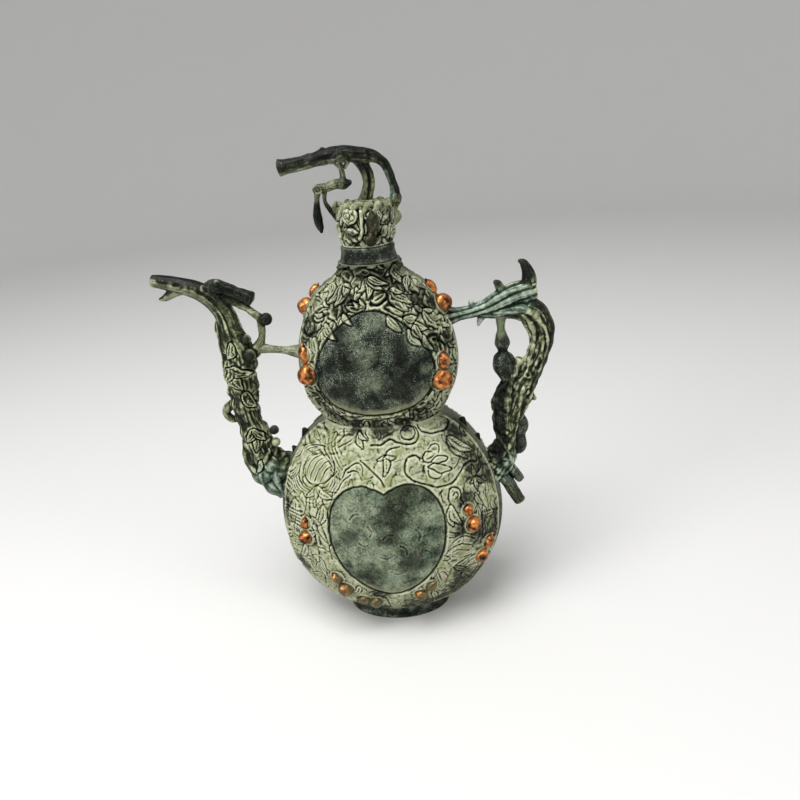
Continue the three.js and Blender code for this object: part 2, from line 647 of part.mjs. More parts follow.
function tendrilSolid() {
  const hook = branch(overRim(tendrilHook), { sides: 7, steps: 12 });
  const [[x, y, z, radius]] = overRim([tendrilCurl]);
  const stub = branch(overRim(tendrilStub), { sides: 8 });
  const pod = branch(overRim(tendrilPod), { sides: 8 });
  const link = branch(overRim(tendrilLink), { sides: 7 });
  return join([hook, stub, ball([x, y, z], radius), pod, link]);
}

// Two dark gourds, one above the other, as [x, distance out from the lid's front, height, radius]
const lidGourdStations = [
  [3, 0, 0.8, 0.8], [2.9, 0, 1.8, 2.2], [3, 0.2, 3.9, 2.9], [3.5, 0, 6.6, 1.6], [4.1, 0, 9.2, 2.9],
  [4.5, 0, 11.4, 2.9], [4.3, 0, 14.4, 1.3], [4.1, 0, 15.6, 0.6],
];

function lidGourds() {
  const front = lid.width / 2;
  const place = ([x, proud, z, radius]) => [x, -(front + proud), lidFoot + z, radius];
  return branch(lidGourdStations.map(place), { sides: 8, steps: 12 });
}

// Assembly

const ewer = new THREE.Group();
const lidGroup = new THREE.Group();
ewer.add(lidGroup);

const bore = spoutBore();
const front = frontHalf();
ewer.add(mesh('front_shell', front.subtract(bore), carvedFinish));
ewer.add(mesh('back_shell', front.rotate(halfTurn).subtract(bore), carvedFinish));
ewer.add(mesh('foot_ring', footRing(), darkFinish));
ewer.add(mesh('base_plate', basePlate(), darkFinish));
ewer.add(mesh('neck_collar', neckCollar(), darkFinish));

const frontBossKeepout = join(bosses.map((place) => bossSolid(place, clearance)));
const fittingsKeepout = join([bodyKeepout, frontBossKeepout, frontBossKeepout.rotate(halfTurn)]);
const braceKeepout = braceSolid(clearance);
const spoutShape = spoutSolid().subtract(fittingsKeepout).subtract(bore).subtract(braceKeepout);
ewer.add(mesh('spout', spoutShape, branchFinish));
ewer.add(mesh('spout_brace', braceSolid().subtract(fittingsKeepout), tealFinish));

const handleKeepout = handleSolid(clearance);
ewer.add(mesh('handle', handleSolid().subtract(fittingsKeepout), branchFinish));
ewer.add(mesh('handle_pendant_gourd', handleGourds(pendantStations).subtract(handleKeepout), darkFinish));
ewer.add(mesh('handle_gourd_pair', handleGourds(outerStations).subtract(handleKeepout), darkFinish));

bosses.forEach((place, i) => {
  const shape = bossSolid(place).subtract(bodyKeepout);
  ewer.add(mesh(`gilt_gourd_front_${i + 1}`, shape, giltFinish));
  ewer.add(mesh(`gilt_gourd_back_${i + 1}`, shape.rotate(halfTurn), giltFinish));
});

const lidKeepout = join([turned(lidOutline(clearance), lidSides), lidBuds(clearance)]);
lidGroup.add(mesh('lid_cup', lidCup(), carvedFinish));
lidGroup.add(mesh('lid_plug', lidPlug(), darkFinish));
lidGroup.add(mesh('lid_finial', finialSolid().subtract(lidKeepout), branchFinish));
const tendrilShape = tendrilSolid().subtract(finialSolid(clearance)).subtract(lidKeepout);
lidGroup.add(mesh('finial_tendril', tendrilShape, branchFinish));
lidGroup.add(mesh('lid_gourd_pair', lidGourds().subtract(lidKeepout), darkFinish));

export default ewer;
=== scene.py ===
# %% [markdown]
# # A double gourd ewer in patinated bronze
# The ewer is a small oval double gourd with carved leaves, two bare panels, gilt gourd bosses, a branch for
# a spout, a branch for a handle and a lid with a bent branch on top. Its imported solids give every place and
# size. They are loaded first, so that each finer piece can be built where its solid already stands.

# %% Load the frame
import math

import bmesh
import bpy
import numpy as np
from mathutils import Matrix, Vector


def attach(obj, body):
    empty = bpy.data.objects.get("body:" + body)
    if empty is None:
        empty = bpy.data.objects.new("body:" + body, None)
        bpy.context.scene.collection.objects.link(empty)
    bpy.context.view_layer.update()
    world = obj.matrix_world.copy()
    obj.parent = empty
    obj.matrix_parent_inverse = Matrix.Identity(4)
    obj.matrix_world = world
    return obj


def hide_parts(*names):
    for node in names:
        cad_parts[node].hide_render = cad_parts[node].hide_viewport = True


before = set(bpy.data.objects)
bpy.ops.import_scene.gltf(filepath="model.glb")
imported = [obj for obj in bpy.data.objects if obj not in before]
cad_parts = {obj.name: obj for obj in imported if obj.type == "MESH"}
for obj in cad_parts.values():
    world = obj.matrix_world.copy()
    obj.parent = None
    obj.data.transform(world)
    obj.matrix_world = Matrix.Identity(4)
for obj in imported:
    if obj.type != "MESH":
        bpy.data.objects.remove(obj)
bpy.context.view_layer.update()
MM = 0.001

# %% [markdown]
# ## The view
# The ewer is seen from a little above and a little to its right, from about a third of a metre away. A
# camera is easiest to aim with a matrix: its columns are right, up and back. The slight roll is part of the
# view.

# %% Camera
IMAGE_WIDTH = 800
FOCAL_PIXELS = 700
SENSOR_MM = 36
CAMERA_PLACE = {"distance": 318, "height": 248, "azimuth": 6, "yaw": 1.56, "pitch": 22.4, "roll": 4.8}


def camera_matrix(distance, height, azimuth, yaw, pitch, roll):
    azimuth, yaw, pitch, roll = (math.radians(v) for v in (azimuth, yaw, pitch, roll))
    place = Vector((math.sin(azimuth), -math.cos(azimuth), 0)) * distance + Vector((0, 0, height))
    head = Vector((-math.sin(azimuth), math.cos(azimuth), 0))
    side = Vector((math.cos(azimuth), math.sin(azimuth), 0))
    level = head * math.cos(yaw) + side * math.sin(yaw)
    right = side * math.cos(yaw) - head * math.sin(yaw)
    forward = level * math.cos(pitch) - Vector((0, 0, math.sin(pitch)))
    up = right.cross(forward)
    right, up = right * math.cos(roll) - up * math.sin(roll), up * math.cos(roll) + right * math.sin(roll)
    matrix = Matrix((right, up, -forward)).transposed().to_4x4()
    matrix.translation = place * MM
    return matrix


camera = bpy.data.objects.new("camera", bpy.data.cameras.new("camera"))
bpy.context.scene.collection.objects.link(camera)
camera.matrix_world = camera_matrix(**CAMERA_PLACE)
camera.data.sensor_width = SENSOR_MM
camera.data.lens = SENSOR_MM * FOCAL_PIXELS / IMAGE_WIDTH
camera.data.clip_start = 10 * MM
bpy.context.scene.camera = camera
bpy.context.scene.view_settings.view_transform = "Standard"
print("lens in mm:", camera.data.lens)

# %% [markdown]
# ## Stage and light
# A round pale sheet whose rim curves up gives a plain floor and backdrop from every side, without a line
# between them. It is one line of points spun through a full turn, as the body and the turned pieces are
# later. The light is a large soft lamp above, two weaker ones at the sides and a pale sky.


# %% Small helpers for objects and nodes
def hex_colour(code):
    """An sRGB hex value as the linear colour that shaders use."""
    channels = [int(code[i : i + 2], 16) / 255 for i in (1, 3, 5)]
    linear = [c / 12.92 if c <= 0.04045 else ((c + 0.055) / 1.055) ** 2.4 for c in channels]
    return (*linear, 1)


def add_node(tree, kind, inputs=None, output=0, **settings):
    """Adds a shader node. Each input is a value or another node's output. Gives one of its outputs back."""
    made = tree.nodes.new(kind)
    for key, value in settings.items():
        setattr(made, key, value)
    for key, value in (inputs or {}).items():
        if isinstance(value, bpy.types.NodeSocket):
            tree.links.new(value, made.inputs[key])
        else:
            made.inputs[key].default_value = value
    return made.outputs[output]


def new_material(name):
    material = bpy.data.materials.new(name)
    material.use_nodes = True
    return material, material.node_tree.nodes["Principled BSDF"]


def new_piece(name, mesh):
    piece = bpy.data.objects.new(name, mesh)
    bpy.context.scene.collection.objects.link(piece)
    return piece


# %% Small helpers for meshes
def mesh_from(bm, name):
    mesh = bpy.data.meshes.new(name)
    bm.to_mesh(mesh)
    bm.free()
    return mesh


def soften_edges(bm, edges, width):
    bmesh.ops.bevel(bm, geom=edges, affect="EDGES", offset=width, segments=2, profile=0.5, material=-1)


def spun_mesh(name, line, steps, closed=True, half=False, merge=0):
    """What a line of (radius, height) points leaves behind when it is spun about the upright axis."""
    bm = bmesh.new()
    verts = [bm.verts.new((radius, 0, z)) for radius, z in line]
    pairs = zip(verts[-1:] + verts[:-1], verts) if closed else zip(verts, verts[1:])
    edges = [bm.edges.new(pair) for pair in pairs]
    angle = math.pi if half else 2 * math.pi
    bmesh.ops.spin(
        bm, geom=verts + edges, axis=(0, 0, 1), cent=(0, 0, 0), angle=angle, steps=steps, use_merge=not half
    )
    if half:
        bmesh.ops.holes_fill(bm, edges=[e for e in bm.edges if e.is_boundary], sides=0)
    if merge:
        bmesh.ops.remove_doubles(bm, verts=bm.verts[:], dist=merge)
    bmesh.ops.recalc_face_normals(bm, faces=bm.faces[:])
    return mesh_from(bm, name)


# %% Floor and backdrop
FLOOR_RADIUS, BEND, WALL_TOP = 2.2, 0.8, 1.8  # metres
BEND_STEPS = 16
bend_turns = [0.5 * math.pi * step / BEND_STEPS for step in range(BEND_STEPS + 1)]
bend = [(FLOOR_RADIUS - BEND + BEND * math.sin(t), BEND - BEND * math.cos(t)) for t in bend_turns]
sheet_line = [(0, 0), *bend, (FLOOR_RADIUS, WALL_TOP)]
floor_mesh = spun_mesh("floor_sheet", sheet_line, 96, closed=False, merge=0.0001)
floor_mesh.shade_smooth()
floor_sheet = new_piece("floor_sheet", floor_mesh)
paper, paper_shader = new_material("matte_paper_sheet")  # plain card that takes the shadow
paper_shader.inputs["Base Color"].default_value = hex_colour("#E2E1DF")
paper_shader.inputs["Roughness"].default_value = 0.9
floor_mesh.materials.append(paper)
print("floor sheet faces:", len(floor_mesh.polygons))

# %% Lamps
MIDDLE_OF_EWER = Vector((0, 0, 0.11))
LAMPS = {  # places and sizes in metres, power in watts
    "top_lamp": {"place": (-0.15, -0.3, 1.0), "size": 0.6, "power": 9.0},
    "left_lamp": {"place": (-0.9, -0.7, 0.6), "size": 0.5, "power": 5.0},
    "right_lamp": {"place": (0.9, -0.5, 0.5), "size": 0.5, "power": 2.2},
}
for name, lamp in LAMPS.items():
    light = bpy.data.lights.new(name, "AREA")
    light.size = lamp["size"]
    light.energy = lamp["power"]
    holder = new_piece(name, light)
    holder.location = lamp["place"]
    aim = MIDDLE_OF_EWER - Vector(lamp["place"])
    holder.rotation_euler = aim.to_track_quat("-Z", "Y").to_euler()

world = bpy.data.worlds.new("pale_room")
bpy.context.scene.world = world
world.use_nodes = True
sky = world.node_tree.nodes["Background"].inputs
sky["Color"].default_value = hex_colour("#E6E8EA")
sky["Strength"].default_value = 0.55
print("lamps:", len(LAMPS))

# %% [markdown]
# ## Finishes
# The ewer is cast bronze that was stained dark, dusted with pale verdigris and rubbed back. So every finish
# has the same build: dark in the hollows, a middle ground, and pale where the relief stands up. Each piece
# carries an attribute named tone, which says how high or deep a point lies in its own relief, and noise
# breaks it up. A finish may have further layers, each shown where an attribute of its own is 1, such as on
# the bare panels.


# %% Patina builder
def per_metre(size_mm):
    """Noise scale for features of about this size in mm."""
    return 1 / (size_mm * MM)


GRAIN_MM = 0.9  # cast skin is finer than this; it is drawn coarse enough to show
SPECK_MM = 0.4  # fine spatter of pale dust
SKIN_MM = 0.12  # depth of the cast skin's roughness
DUSTY_SHEEN = 0.15  # mineral dust and soot hardly mirror the room, so the dark places stay black
COLOUR_A, COLOUR_B, COLOUR_RESULT = 6, 7, 2  # the colour sockets of a Mix node
FLOAT_A, FLOAT_B = 2, 3  # and its number sockets
PATCH_LIMITS = {"From Min": 0.52, "From Max": 0.64}  # noise levels between which a stained patch begins
SPECK_LIMITS = {"From Min": 0.59, "From Max": 0.67, "To Max": 0.75}  # the same for specks of dust


def set_stops(ramp, stops):
    """Gives a colour ramp, known by its output, its positions and colours."""
    elements = ramp.node.color_ramp.elements
    for index, (position, code) in enumerate(stops):
        element = elements[index] if index < 2 else elements.new(position)
        element.position, element.color = position, hex_colour(code)


def patina_layer(tree, place, tone, fine, stops, stain, amount=0.5, grain=0.3, mottle=0.5, mottle_mm=10,
                 specks=None, seed=1.0, rough=0.62):
    """A layer's colour and roughness: tone picks the colour, noise breaks it up, a stain lies in patches."""
    cloud = {"Vector": place, "Scale": per_metre(mottle_mm), "Detail": 5, "W": seed}
    broad = add_node(tree, "ShaderNodeTexNoise", cloud, noise_dimensions="4D")
    broad = add_node(tree, "ShaderNodeMath", {0: broad, 1: 0.5}, operation="SUBTRACT")
    level = add_node(tree, "ShaderNodeMath", {0: fine, 1: grain, 2: tone}, operation="MULTIPLY_ADD")
    level = add_node(tree, "ShaderNodeMath", {0: broad, 1: mottle, 2: level}, operation="MULTIPLY_ADD")
    colour = add_node(tree, "ShaderNodeValToRGB", {"Fac": level})
    set_stops(colour, stops)
    cloud = {"Vector": place, "Scale": per_metre(0.6 * mottle_mm), "Detail": 6, "W": seed + 5}
    patches = add_node(tree, "ShaderNodeTexNoise", cloud, noise_dimensions="4D")
    limits = {"Value": patches, "To Max": amount, **PATCH_LIMITS}
    share = add_node(tree, "ShaderNodeMapRange", limits, interpolation_type="SMOOTHSTEP")
    mixed = {0: share, COLOUR_A: colour, COLOUR_B: hex_colour(stain)}
    colour = add_node(tree, "ShaderNodeMix", mixed, COLOUR_RESULT, data_type="RGBA")
    if specks:
        cloud = {"Vector": place, "Scale": per_metre(SPECK_MM), "Detail": 2, "W": seed + 9}
        dots = add_node(tree, "ShaderNodeTexNoise", cloud, noise_dimensions="4D")
        crowd = add_node(tree, "ShaderNodeMath", {0: broad, 1: 0.5, 2: dots}, operation="MULTIPLY_ADD")
        limits = {"Value": crowd, **SPECK_LIMITS}
        share = add_node(tree, "ShaderNodeMapRange", limits, interpolation_type="SMOOTHSTEP")
        mixed = {0: share, COLOUR_A: colour, COLOUR_B: hex_colour(specks)}
        colour = add_node(tree, "ShaderNodeMix", mixed, COLOUR_RESULT, data_type="RGBA")
    roughness = add_node(tree, "ShaderNodeMath", {0: fine, 1: 0.25, 2: rough}, operation="MULTIPLY_ADD")
    return colour, roughness


def patina(name, layers, metallic=0.3):
    """Stained and dusted cast bronze. Each later layer names the attribute that says where it shows."""
    material, shader = new_material(name)
    tree = material.node_tree
    place = add_node(tree, "ShaderNodeTexCoord", output="Object")
    tone = add_node(tree, "ShaderNodeAttribute", output="Fac", attribute_name="tone")
    cloud = {"Vector": place, "Scale": per_metre(GRAIN_MM), "Detail": 6, "W": 0.5}
    fine = add_node(tree, "ShaderNodeTexNoise", cloud, noise_dimensions="4D")
    fine = add_node(tree, "ShaderNodeMath", {0: fine, 1: 0.5}, operation="SUBTRACT")
    colour, roughness = patina_layer(tree, place, tone, fine, **layers[0])
    for layer in layers[1:]:
        look = {key: value for key, value in layer.items() if key != "where"}
        upper_colour, upper_roughness = patina_layer(tree, place, tone, fine, **look)
        share = add_node(tree, "ShaderNodeAttribute", output="Fac", attribute_name=layer["where"])
        mixed = {0: share, COLOUR_A: colour, COLOUR_B: upper_colour}
        colour = add_node(tree, "ShaderNodeMix", mixed, COLOUR_RESULT, data_type="RGBA")
        mixed = {0: share, FLOAT_A: roughness, FLOAT_B: upper_roughness}
        roughness = add_node(tree, "ShaderNodeMix", mixed, data_type="FLOAT")
    normal = add_node(tree, "ShaderNodeBump", {"Strength": 0.7, "Distance": SKIN_MM * MM, "Height": fine})
    tree.links.new(colour, shader.inputs["Base Color"])
    tree.links.new(roughness, shader.inputs["Roughness"])
    tree.links.new(normal, shader.inputs["Normal"])
    shader.inputs["Metallic"].default_value = metallic
    shader.inputs["Specular IOR Level"].default_value = DUSTY_SHEEN
    return material


# %% [markdown]
# ### The finishes of this ewer
# The body is the palest: cream green dust on the relief and near black lines. Its bare panels are dark and
# smooth with a grey-green bloom and pale specks, and its sides are a smooth grey-green. The branches are
# darker, with pale rubbed strands, bluer where water stood and black where the dust was rubbed off.

# %% Bronze finishes
side_layer = dict(where="side", stops=[(0.1, "#1B1F19"), (0.45, "#555C4C"), (0.8, "#868C78")],
                  stain="#4A5A4A", rough=0.6, mottle_mm=9, mottle=0.8, grain=0.5, seed=3.0)
crust_layer = dict(where="crust", stops=[(0.1, "#45462F"), (0.5, "#85866A"), (0.9, "#B9B894")],
                   stain="#6F7350", rough=0.75, mottle_mm=4, mottle=0.8, grain=0.6, seed=8.0)
dust_layer = dict(where="dusty",
                  stops=[(0.12, "#23281F"), (0.42, "#59624F"), (0.66, "#8B957B"), (0.93, "#B1B79C")],
                  stain="#6D8170", amount=0.6, rough=0.6, mottle_mm=4, mottle=0.9, grain=1.2,
                  specks="#BCC4AE", seed=5.5)
# Near black layer for painted shade under parts and on the side away from the lamps, and for dirt.
soot_and_shade_layer = dict(where="soot_and_shade",
                   stops=[(0.25, "#080906"), (0.55, "#171A12"), (0.78, "#2F3425"), (0.97, "#4E5340")],
                   stain="#1D2518", rough=0.55, mottle_mm=5, mottle=0.7, grain=0.5, seed=5.0)
upper_bronze = patina("verdigris_dusted_cast_bronze_upper_bulb", [
    dict(stops=[(0.1, "#0B0C08"), (0.36, "#2B2F22"), (0.52, "#5F644D"), (0.7, "#8D9175"), (0.97, "#B9BDA2")],
         stain="#5F683F", rough=0.66, mottle_mm=8, mottle=0.6, grain=0.5),
    side_layer,
    dict(where="panel", stops=[(0.14, "#070806"), (0.5, "#141712"), (0.72, "#2E352B"), (0.97, "#606A58")],
         stain="#3E4B3F", amount=0.4, rough=0.42, mottle_mm=7, mottle=1.0, grain=0.9, specks="#A9B29E",
         seed=4.0),
    dust_layer, crust_layer, soot_and_shade_layer,
])
lower_bronze = patina("verdigris_dusted_cast_bronze_lower_bulb", [
    dict(stops=[(0.08, "#0E0F0A"), (0.28, "#353826"), (0.43, "#777B5D"), (0.6, "#A0A486"), (0.95, "#C4C7AC")],
         stain="#7C844B", rough=0.66, mottle_mm=9, grain=0.5, seed=2.0),
    side_layer,
    dict(where="panel", stops=[(0.14, "#12150F"), (0.4, "#333A2E"), (0.62, "#616C57"), (0.93, "#939D80")],
         stain="#56705E", rough=0.42, mottle_mm=7, mottle=1.2, grain=1.1, specks="#B2BBA4", seed=6.5),
    dust_layer, crust_layer, soot_and_shade_layer,
])
branch_bronze = patina("dark_cast_bronze_branch", [
    dict(stops=[(0.14, "#070805"), (0.43, "#15180F"), (0.6, "#343A27"), (0.76, "#767C5C"), (0.95, "#B6BA99")],
         stain="#22301F", rough=0.5, mottle_mm=9, grain=0.4),
    dict(where="teal", stops=[(0.14, "#090E0A"), (0.43, "#223128"), (0.63, "#5C6F60"), (0.92, "#B4BFAF")],
         stain="#1F3A2D", rough=0.6, mottle_mm=6, mottle=0.6, grain=0.5, seed=2.0),
    dict(where="dusted", stops=[(0.14, "#10120C"), (0.42, "#30352A"), (0.62, "#5F654D"), (0.9, "#A3A789")],
         stain="#2B3324", mottle_mm=5, mottle=0.8, grain=0.6, specks="#B3B79B", seed=9.0),
    dict(where="bare", stops=[(0.2, "#040403"), (0.58, "#090B07"), (0.92, "#252920")], stain="#171C15",
         amount=0.4, rough=0.4, mottle_mm=6, specks="#5C6152", seed=7.0),
])
smooth_bronze = patina("brown_black_smooth_bronze", [
    dict(stops=[(0.16, "#080907"), (0.5, "#1A1D18"), (0.72, "#343A31"), (0.97, "#6B7263")], stain="#262D25",
         rough=0.42, mottle_mm=4, mottle=1.2, grain=0.7, specks="#8B9483"),
    dict(where="dusted", stops=[(0.1, "#23291D"), (0.5, "#566149"), (0.85, "#8D9878")], stain="#5D6F58",
         amount=0.4, rough=0.6, mottle_mm=5, seed=3.0),
], metallic=0.4)
brown_bronze = patina("rubbed_brown_bronze", [
    dict(stops=[(0.16, "#0A0A07"), (0.45, "#1A1910"), (0.68, "#343121"), (0.95, "#726D51")], stain="#2F3422",
         rough=0.42, mottle_mm=4, mottle=1.0, grain=0.5, specks="#868A6C"),
], metallic=0.4)
pale_bronze = patina("pale_green_dusted_bronze", [
    dict(stops=[(0.14, "#191D14"), (0.4, "#4B503C"), (0.62, "#7E826A"), (0.93, "#B0B398")], stain="#5A624A",
         rough=0.65, mottle_mm=4, mottle=0.9, grain=0.6),
])
lid_bronze = patina("pale_verdigris_lid_bronze", [
    dict(stops=[(0.12, "#0B0C07"), (0.38, "#2B2F1E"), (0.55, "#666B50"), (0.74, "#93987B"),
         (0.97, "#BCC0A8")], stain="#5F6A3F", amount=0.55, rough=0.68, mottle_mm=4, mottle=0.8, grain=0.55),
    soot_and_shade_layer,
])


# %% [markdown]
# ### Rubbed gilding
# The gourd bosses were gilded and then rubbed bright. Gold over bronze reads as orange metal with brown
# hollows, so the surface is mostly metal and a noise lets the brown ground through. An attribute named
# dulled lays olive dust over the gourds near the foot, where no hand rubs.

# %% Gilt finish
GILT_STOPS = [(0.36, "#130F09"), (0.5, "#472A16"), (0.64, "#8F5029"), (0.96, "#D8924F")]
gilt_bronze, shader = new_material("rubbed_gilt_bronze")
tree = gilt_bronze.node_tree
place = add_node(tree, "ShaderNodeTexCoord", output="Object")
tone = add_node(tree, "ShaderNodeAttribute", output="Fac", attribute_name="tone")
cloud = {"Vector": place, "Scale": per_metre(2.8), "Detail": 6, "W": 2.0}
wear = add_node(tree, "ShaderNodeTexNoise", cloud, noise_dimensions="4D")
wear = add_node(tree, "ShaderNodeMath", {0: wear, 1: 0.5}, operation="SUBTRACT")
level = add_node(tree, "ShaderNodeMath", {0: wear, 1: 2.0, 2: tone}, operation="MULTIPLY_ADD")
colour = add_node(tree, "ShaderNodeValToRGB", {"Fac": level})
set_stops(colour, GILT_STOPS)
dulled = add_node(tree, "ShaderNodeAttribute", output="Fac", attribute_name="dulled")
dust = {0: dulled, COLOUR_A: colour, COLOUR_B: hex_colour("#5A5A3E")}
colour = add_node(tree, "ShaderNodeMix", dust, COLOUR_RESULT, data_type="RGBA")
roughness = add_node(tree, "ShaderNodeMath", {0: wear, 1: -0.6, 2: 0.36}, operation="MULTIPLY_ADD")
tree.links.new(colour, shader.inputs["Base Color"])
tree.links.new(roughness, shader.inputs["Roughness"])
shader.inputs["Metallic"].default_value = 0.75
print("finishes:", [m.name for m in bpy.data.materials])

# %% [markdown]
# ## Working on a mesh with numbers
# Relief is easier to place with arrays than by hand: a whole surface can be lifted along its normals at
# once. The same arrays give the tone attribute: a point that stands out of its smoothed surroundings is a
# rubbed crest, and a point that lies under them is a dark hollow.


# %% Array helpers
def get_points(mesh, unit=MM):
    """A mesh's points in mm. A mesh that was built in mm and isn't yet scaled has the unit 1."""
    points = np.empty(len(mesh.vertices) * 3)
    mesh.vertices.foreach_get("co", points)
    return points.reshape(-1, 3) / unit


def set_points(mesh, points):
    """Moves a mesh's points to places in mm."""
    mesh.vertices.foreach_set("co", (points * MM).ravel())
    mesh.update()


def get_normals(mesh):
    normals = np.empty(len(mesh.vertices) * 3)
    mesh.vertex_normals.foreach_get("vector", normals)
    return normals.reshape(-1, 3)


def get_edges(mesh):
    edges = np.empty(len(mesh.edges) * 2, dtype=np.int64)
    mesh.edges.foreach_get("vertices", edges)
    return edges.reshape(-1, 2)


def smoothed(points, edges, rounds):
    """The points after each has moved to the mean of its neighbours a few times."""
    count = len(points)
    first, second = edges.T
    shared = np.bincount(edges.ravel(), minlength=count)[:, None]
    for _ in range(rounds):
        total = np.stack([
            np.bincount(first, points[second, k], count) + np.bincount(second, points[first, k], count)
            for k in range(3)
        ], axis=1)
        points = 0.5 * points + 0.5 * total / shared
    return points


def set_attribute(mesh, name, values):
    attribute = mesh.attributes.get(name) or mesh.attributes.new(name, "FLOAT", "POINT")
    attribute.data.foreach_set("value", np.clip(values, 0, 1).astype(np.float32))


def set_tone(mesh, near=2.0, broad=0.8, near_rounds=4, broad_rounds=24, middle=0.55):
    """Crests towards 1 and hollows towards 0, from two sizes of surroundings."""
    points, edges, normals = get_points(mesh), get_edges(mesh), get_normals(mesh)
    soft = smoothed(points, edges, near_rounds)
    softer = smoothed(soft, edges, broad_rounds)
    height = near * ((points - soft) * normals).sum(1) + broad * ((soft - softer) * normals).sum(1)
    set_attribute(mesh, "tone", middle + height)


def value_noise(points, size, seed):
    """Smooth noise round 0 in space, for features of a size in mm."""
    cell = np.floor(points / size)
    part = points / size - cell
    part = part * part * (3 - 2 * part)
    total = 0
    for corner in np.ndindex(2, 2, 2):
        share = np.prod([part[..., k] if c else 1 - part[..., k] for k, c in enumerate(corner)], axis=0)
        mixed = (cell + corner) @ np.array([127.1, 311.7, 74.7]) + 17.3 * seed
        value = np.sin(mixed) * 43758.5453
        total = total + share * (value - np.floor(value))
    return total - 0.5


def finish_piece(mesh, body, slot, material, *nodes):
    """A finished mesh becomes a piece that has its metal, rides on its body and stands for its solids."""
    mesh.materials.clear()
    mesh.materials.append(material)
    mesh.shade_smooth()
    piece = new_piece(mesh.name, mesh)
    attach(piece, body)
    if nodes:
        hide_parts(*nodes)
    print(piece.name, "faces:", len(mesh.polygons))


# %% [markdown]
# ## The body
# The real body is cast in two halves, front and back, that meet in a seam round the sides. Each half is
# rebuilt here as a lower and an upper bulb: one closed profile of a wall is spun through half a turn, then
# drawn in to an oval. The fine even grid of the outside takes the carving, which is a height over every
# point.

# %% Body profile
WALL, SEAM_GAP = 2.5, 0.2  # all lengths here are in mm
LOWER = {"width": 114, "depth": 75, "middle": 57, "rise": 63, "drop": 57}
UPPER = {"width": 76, "depth": 53, "middle": 138, "rise": 48, "drop": 36}
NECK = {"width": 28.4, "top": 187, "mouth": 22.4, "slope": 16.6}
FOOT_TOP, WAIST = 6, 112
WAIST_BLEND, NECK_BLEND = 1.6, 4.5


def bulb_half(bulb, half, z):
    share = (z - bulb["middle"]) / np.where(z > bulb["middle"], bulb["rise"], bulb["drop"])
    return half * np.sqrt(np.maximum(0, 1 - share * share))


def blend(first, second, round_off):
    return (first + second + np.hypot(first - second, round_off)) / 2


def body_halves(z):
    """Half width and half depth of the bare body at heights in mm."""
    z = np.asarray(z, dtype=float)
    share = np.clip((z - NECK["top"] + NECK["slope"]) / NECK["slope"], 0, 1)
    easing = (share * share * (3 - 2 * share)) ** 2
    halves = []
    for size in ("width", "depth"):
        bulbs = blend(bulb_half(LOWER, LOWER[size] / 2, z), bulb_half(UPPER, UPPER[size] / 2, z), WAIST_BLEND)
        half = blend(bulbs, NECK["width"] / 2, NECK_BLEND)
        halves.append(half + (NECK["width"] / 2 - half) * easing)
    return halves


def body_point(turn, z):
    """Points on the bare body at turns in degrees from the front and heights in mm."""
    (a, b), angle = body_halves(z), np.radians(turn)
    return np.stack([a * np.sin(angle), -b * np.cos(angle), np.asarray(z, dtype=float)], axis=-1)


def body_normal(turn, z):
    """Directions straight out of the bare body."""
    (a, b), angle, step = body_halves(z), np.radians(turn), 0.05
    (a_up, b_up), (a_down, b_down) = body_halves(z + step), body_halves(z - step)
    a_slope, b_slope = (a_up - a_down) / (2 * step), (b_up - b_down) / (2 * step)
    rise = -(a * b_slope * np.cos(angle) ** 2 + b * a_slope * np.sin(angle) ** 2)
    normal = np.stack([b * np.sin(angle), -a * np.cos(angle), rise], axis=-1)
    return normal / np.linalg.norm(normal, axis=-1, keepdims=True)


for label, z in (("widest", LOWER["middle"]), ("waist", WAIST)):
    print(label, "half width and depth:", [round(float(v), 2) for v in body_halves(z)])

# %% [markdown]
# ### A half shell from a spun wall
# Spin takes a profile and turns it about an axis in steps. The profile here is a closed loop: the outside
# in steps of under half a millimetre, then back down along the inner wall in coarse steps. Spun by half a
# turn it gives a closed skin apart from its two end loops, which are filled.

# %% Spin a half shell
COARSE = 20  # steps of the outside for one step of the inner wall


def outline_heights(low, high, spacing):
    """Heights that lie evenly along the body's outline."""
    z = np.linspace(low, high, 4000)
    a = body_halves(z)[0]
    along = np.concatenate([[0], np.cumsum(np.hypot(np.diff(a), np.diff(z)))])
    return np.interp(np.linspace(0, along[-1], int(along[-1] / spacing) + 1), along, z)


def half_shell(name, low, high, spacing, steps):
    outer = outline_heights(low, high, spacing)
    inner = outer[::-COARSE]
    if inner[-1] != outer[0]:
        inner = np.append(inner, outer[0])
    rings = [(-body_halves(z)[0], z) for z in outer]
    rings += [(-max(body_halves(z)[0] - WALL, NECK["mouth"] / 2), z) for z in inner]
    return spun_mesh(name, rings, steps, half=True)


def place_shell(mesh):
    """The round spun shell's points drawn in to the oval, their turns and heights, and which are outside."""
    points = get_points(mesh, 1)
    radius, z = np.hypot(points[:, 0], points[:, 1]), points[:, 2]
    a, b = body_halves(z)
    outside = np.abs(radius - a) < 0.01
    turn = np.degrees(np.arctan2(points[:, 0], -points[:, 1]))
    inner_b = np.maximum(b - WALL, NECK["mouth"] / 2)
    points[:, 1] *= np.where(outside, b, inner_b) / radius
    points[:, 1] -= SEAM_GAP / 2 * (1 - np.cos(np.radians(turn)))
    return points, turn, z, outside


# %% [markdown]
# ### Carving tools
# The carving is drawn as strokes on the body, each stroke as turns and heights. Three tools cut them: a
# graver follows a line, a leaf punch leaves a pointed leaf with a midrib and veins, and a knife goes round
# the bare panels. Each tool works on all points of the surface at once.


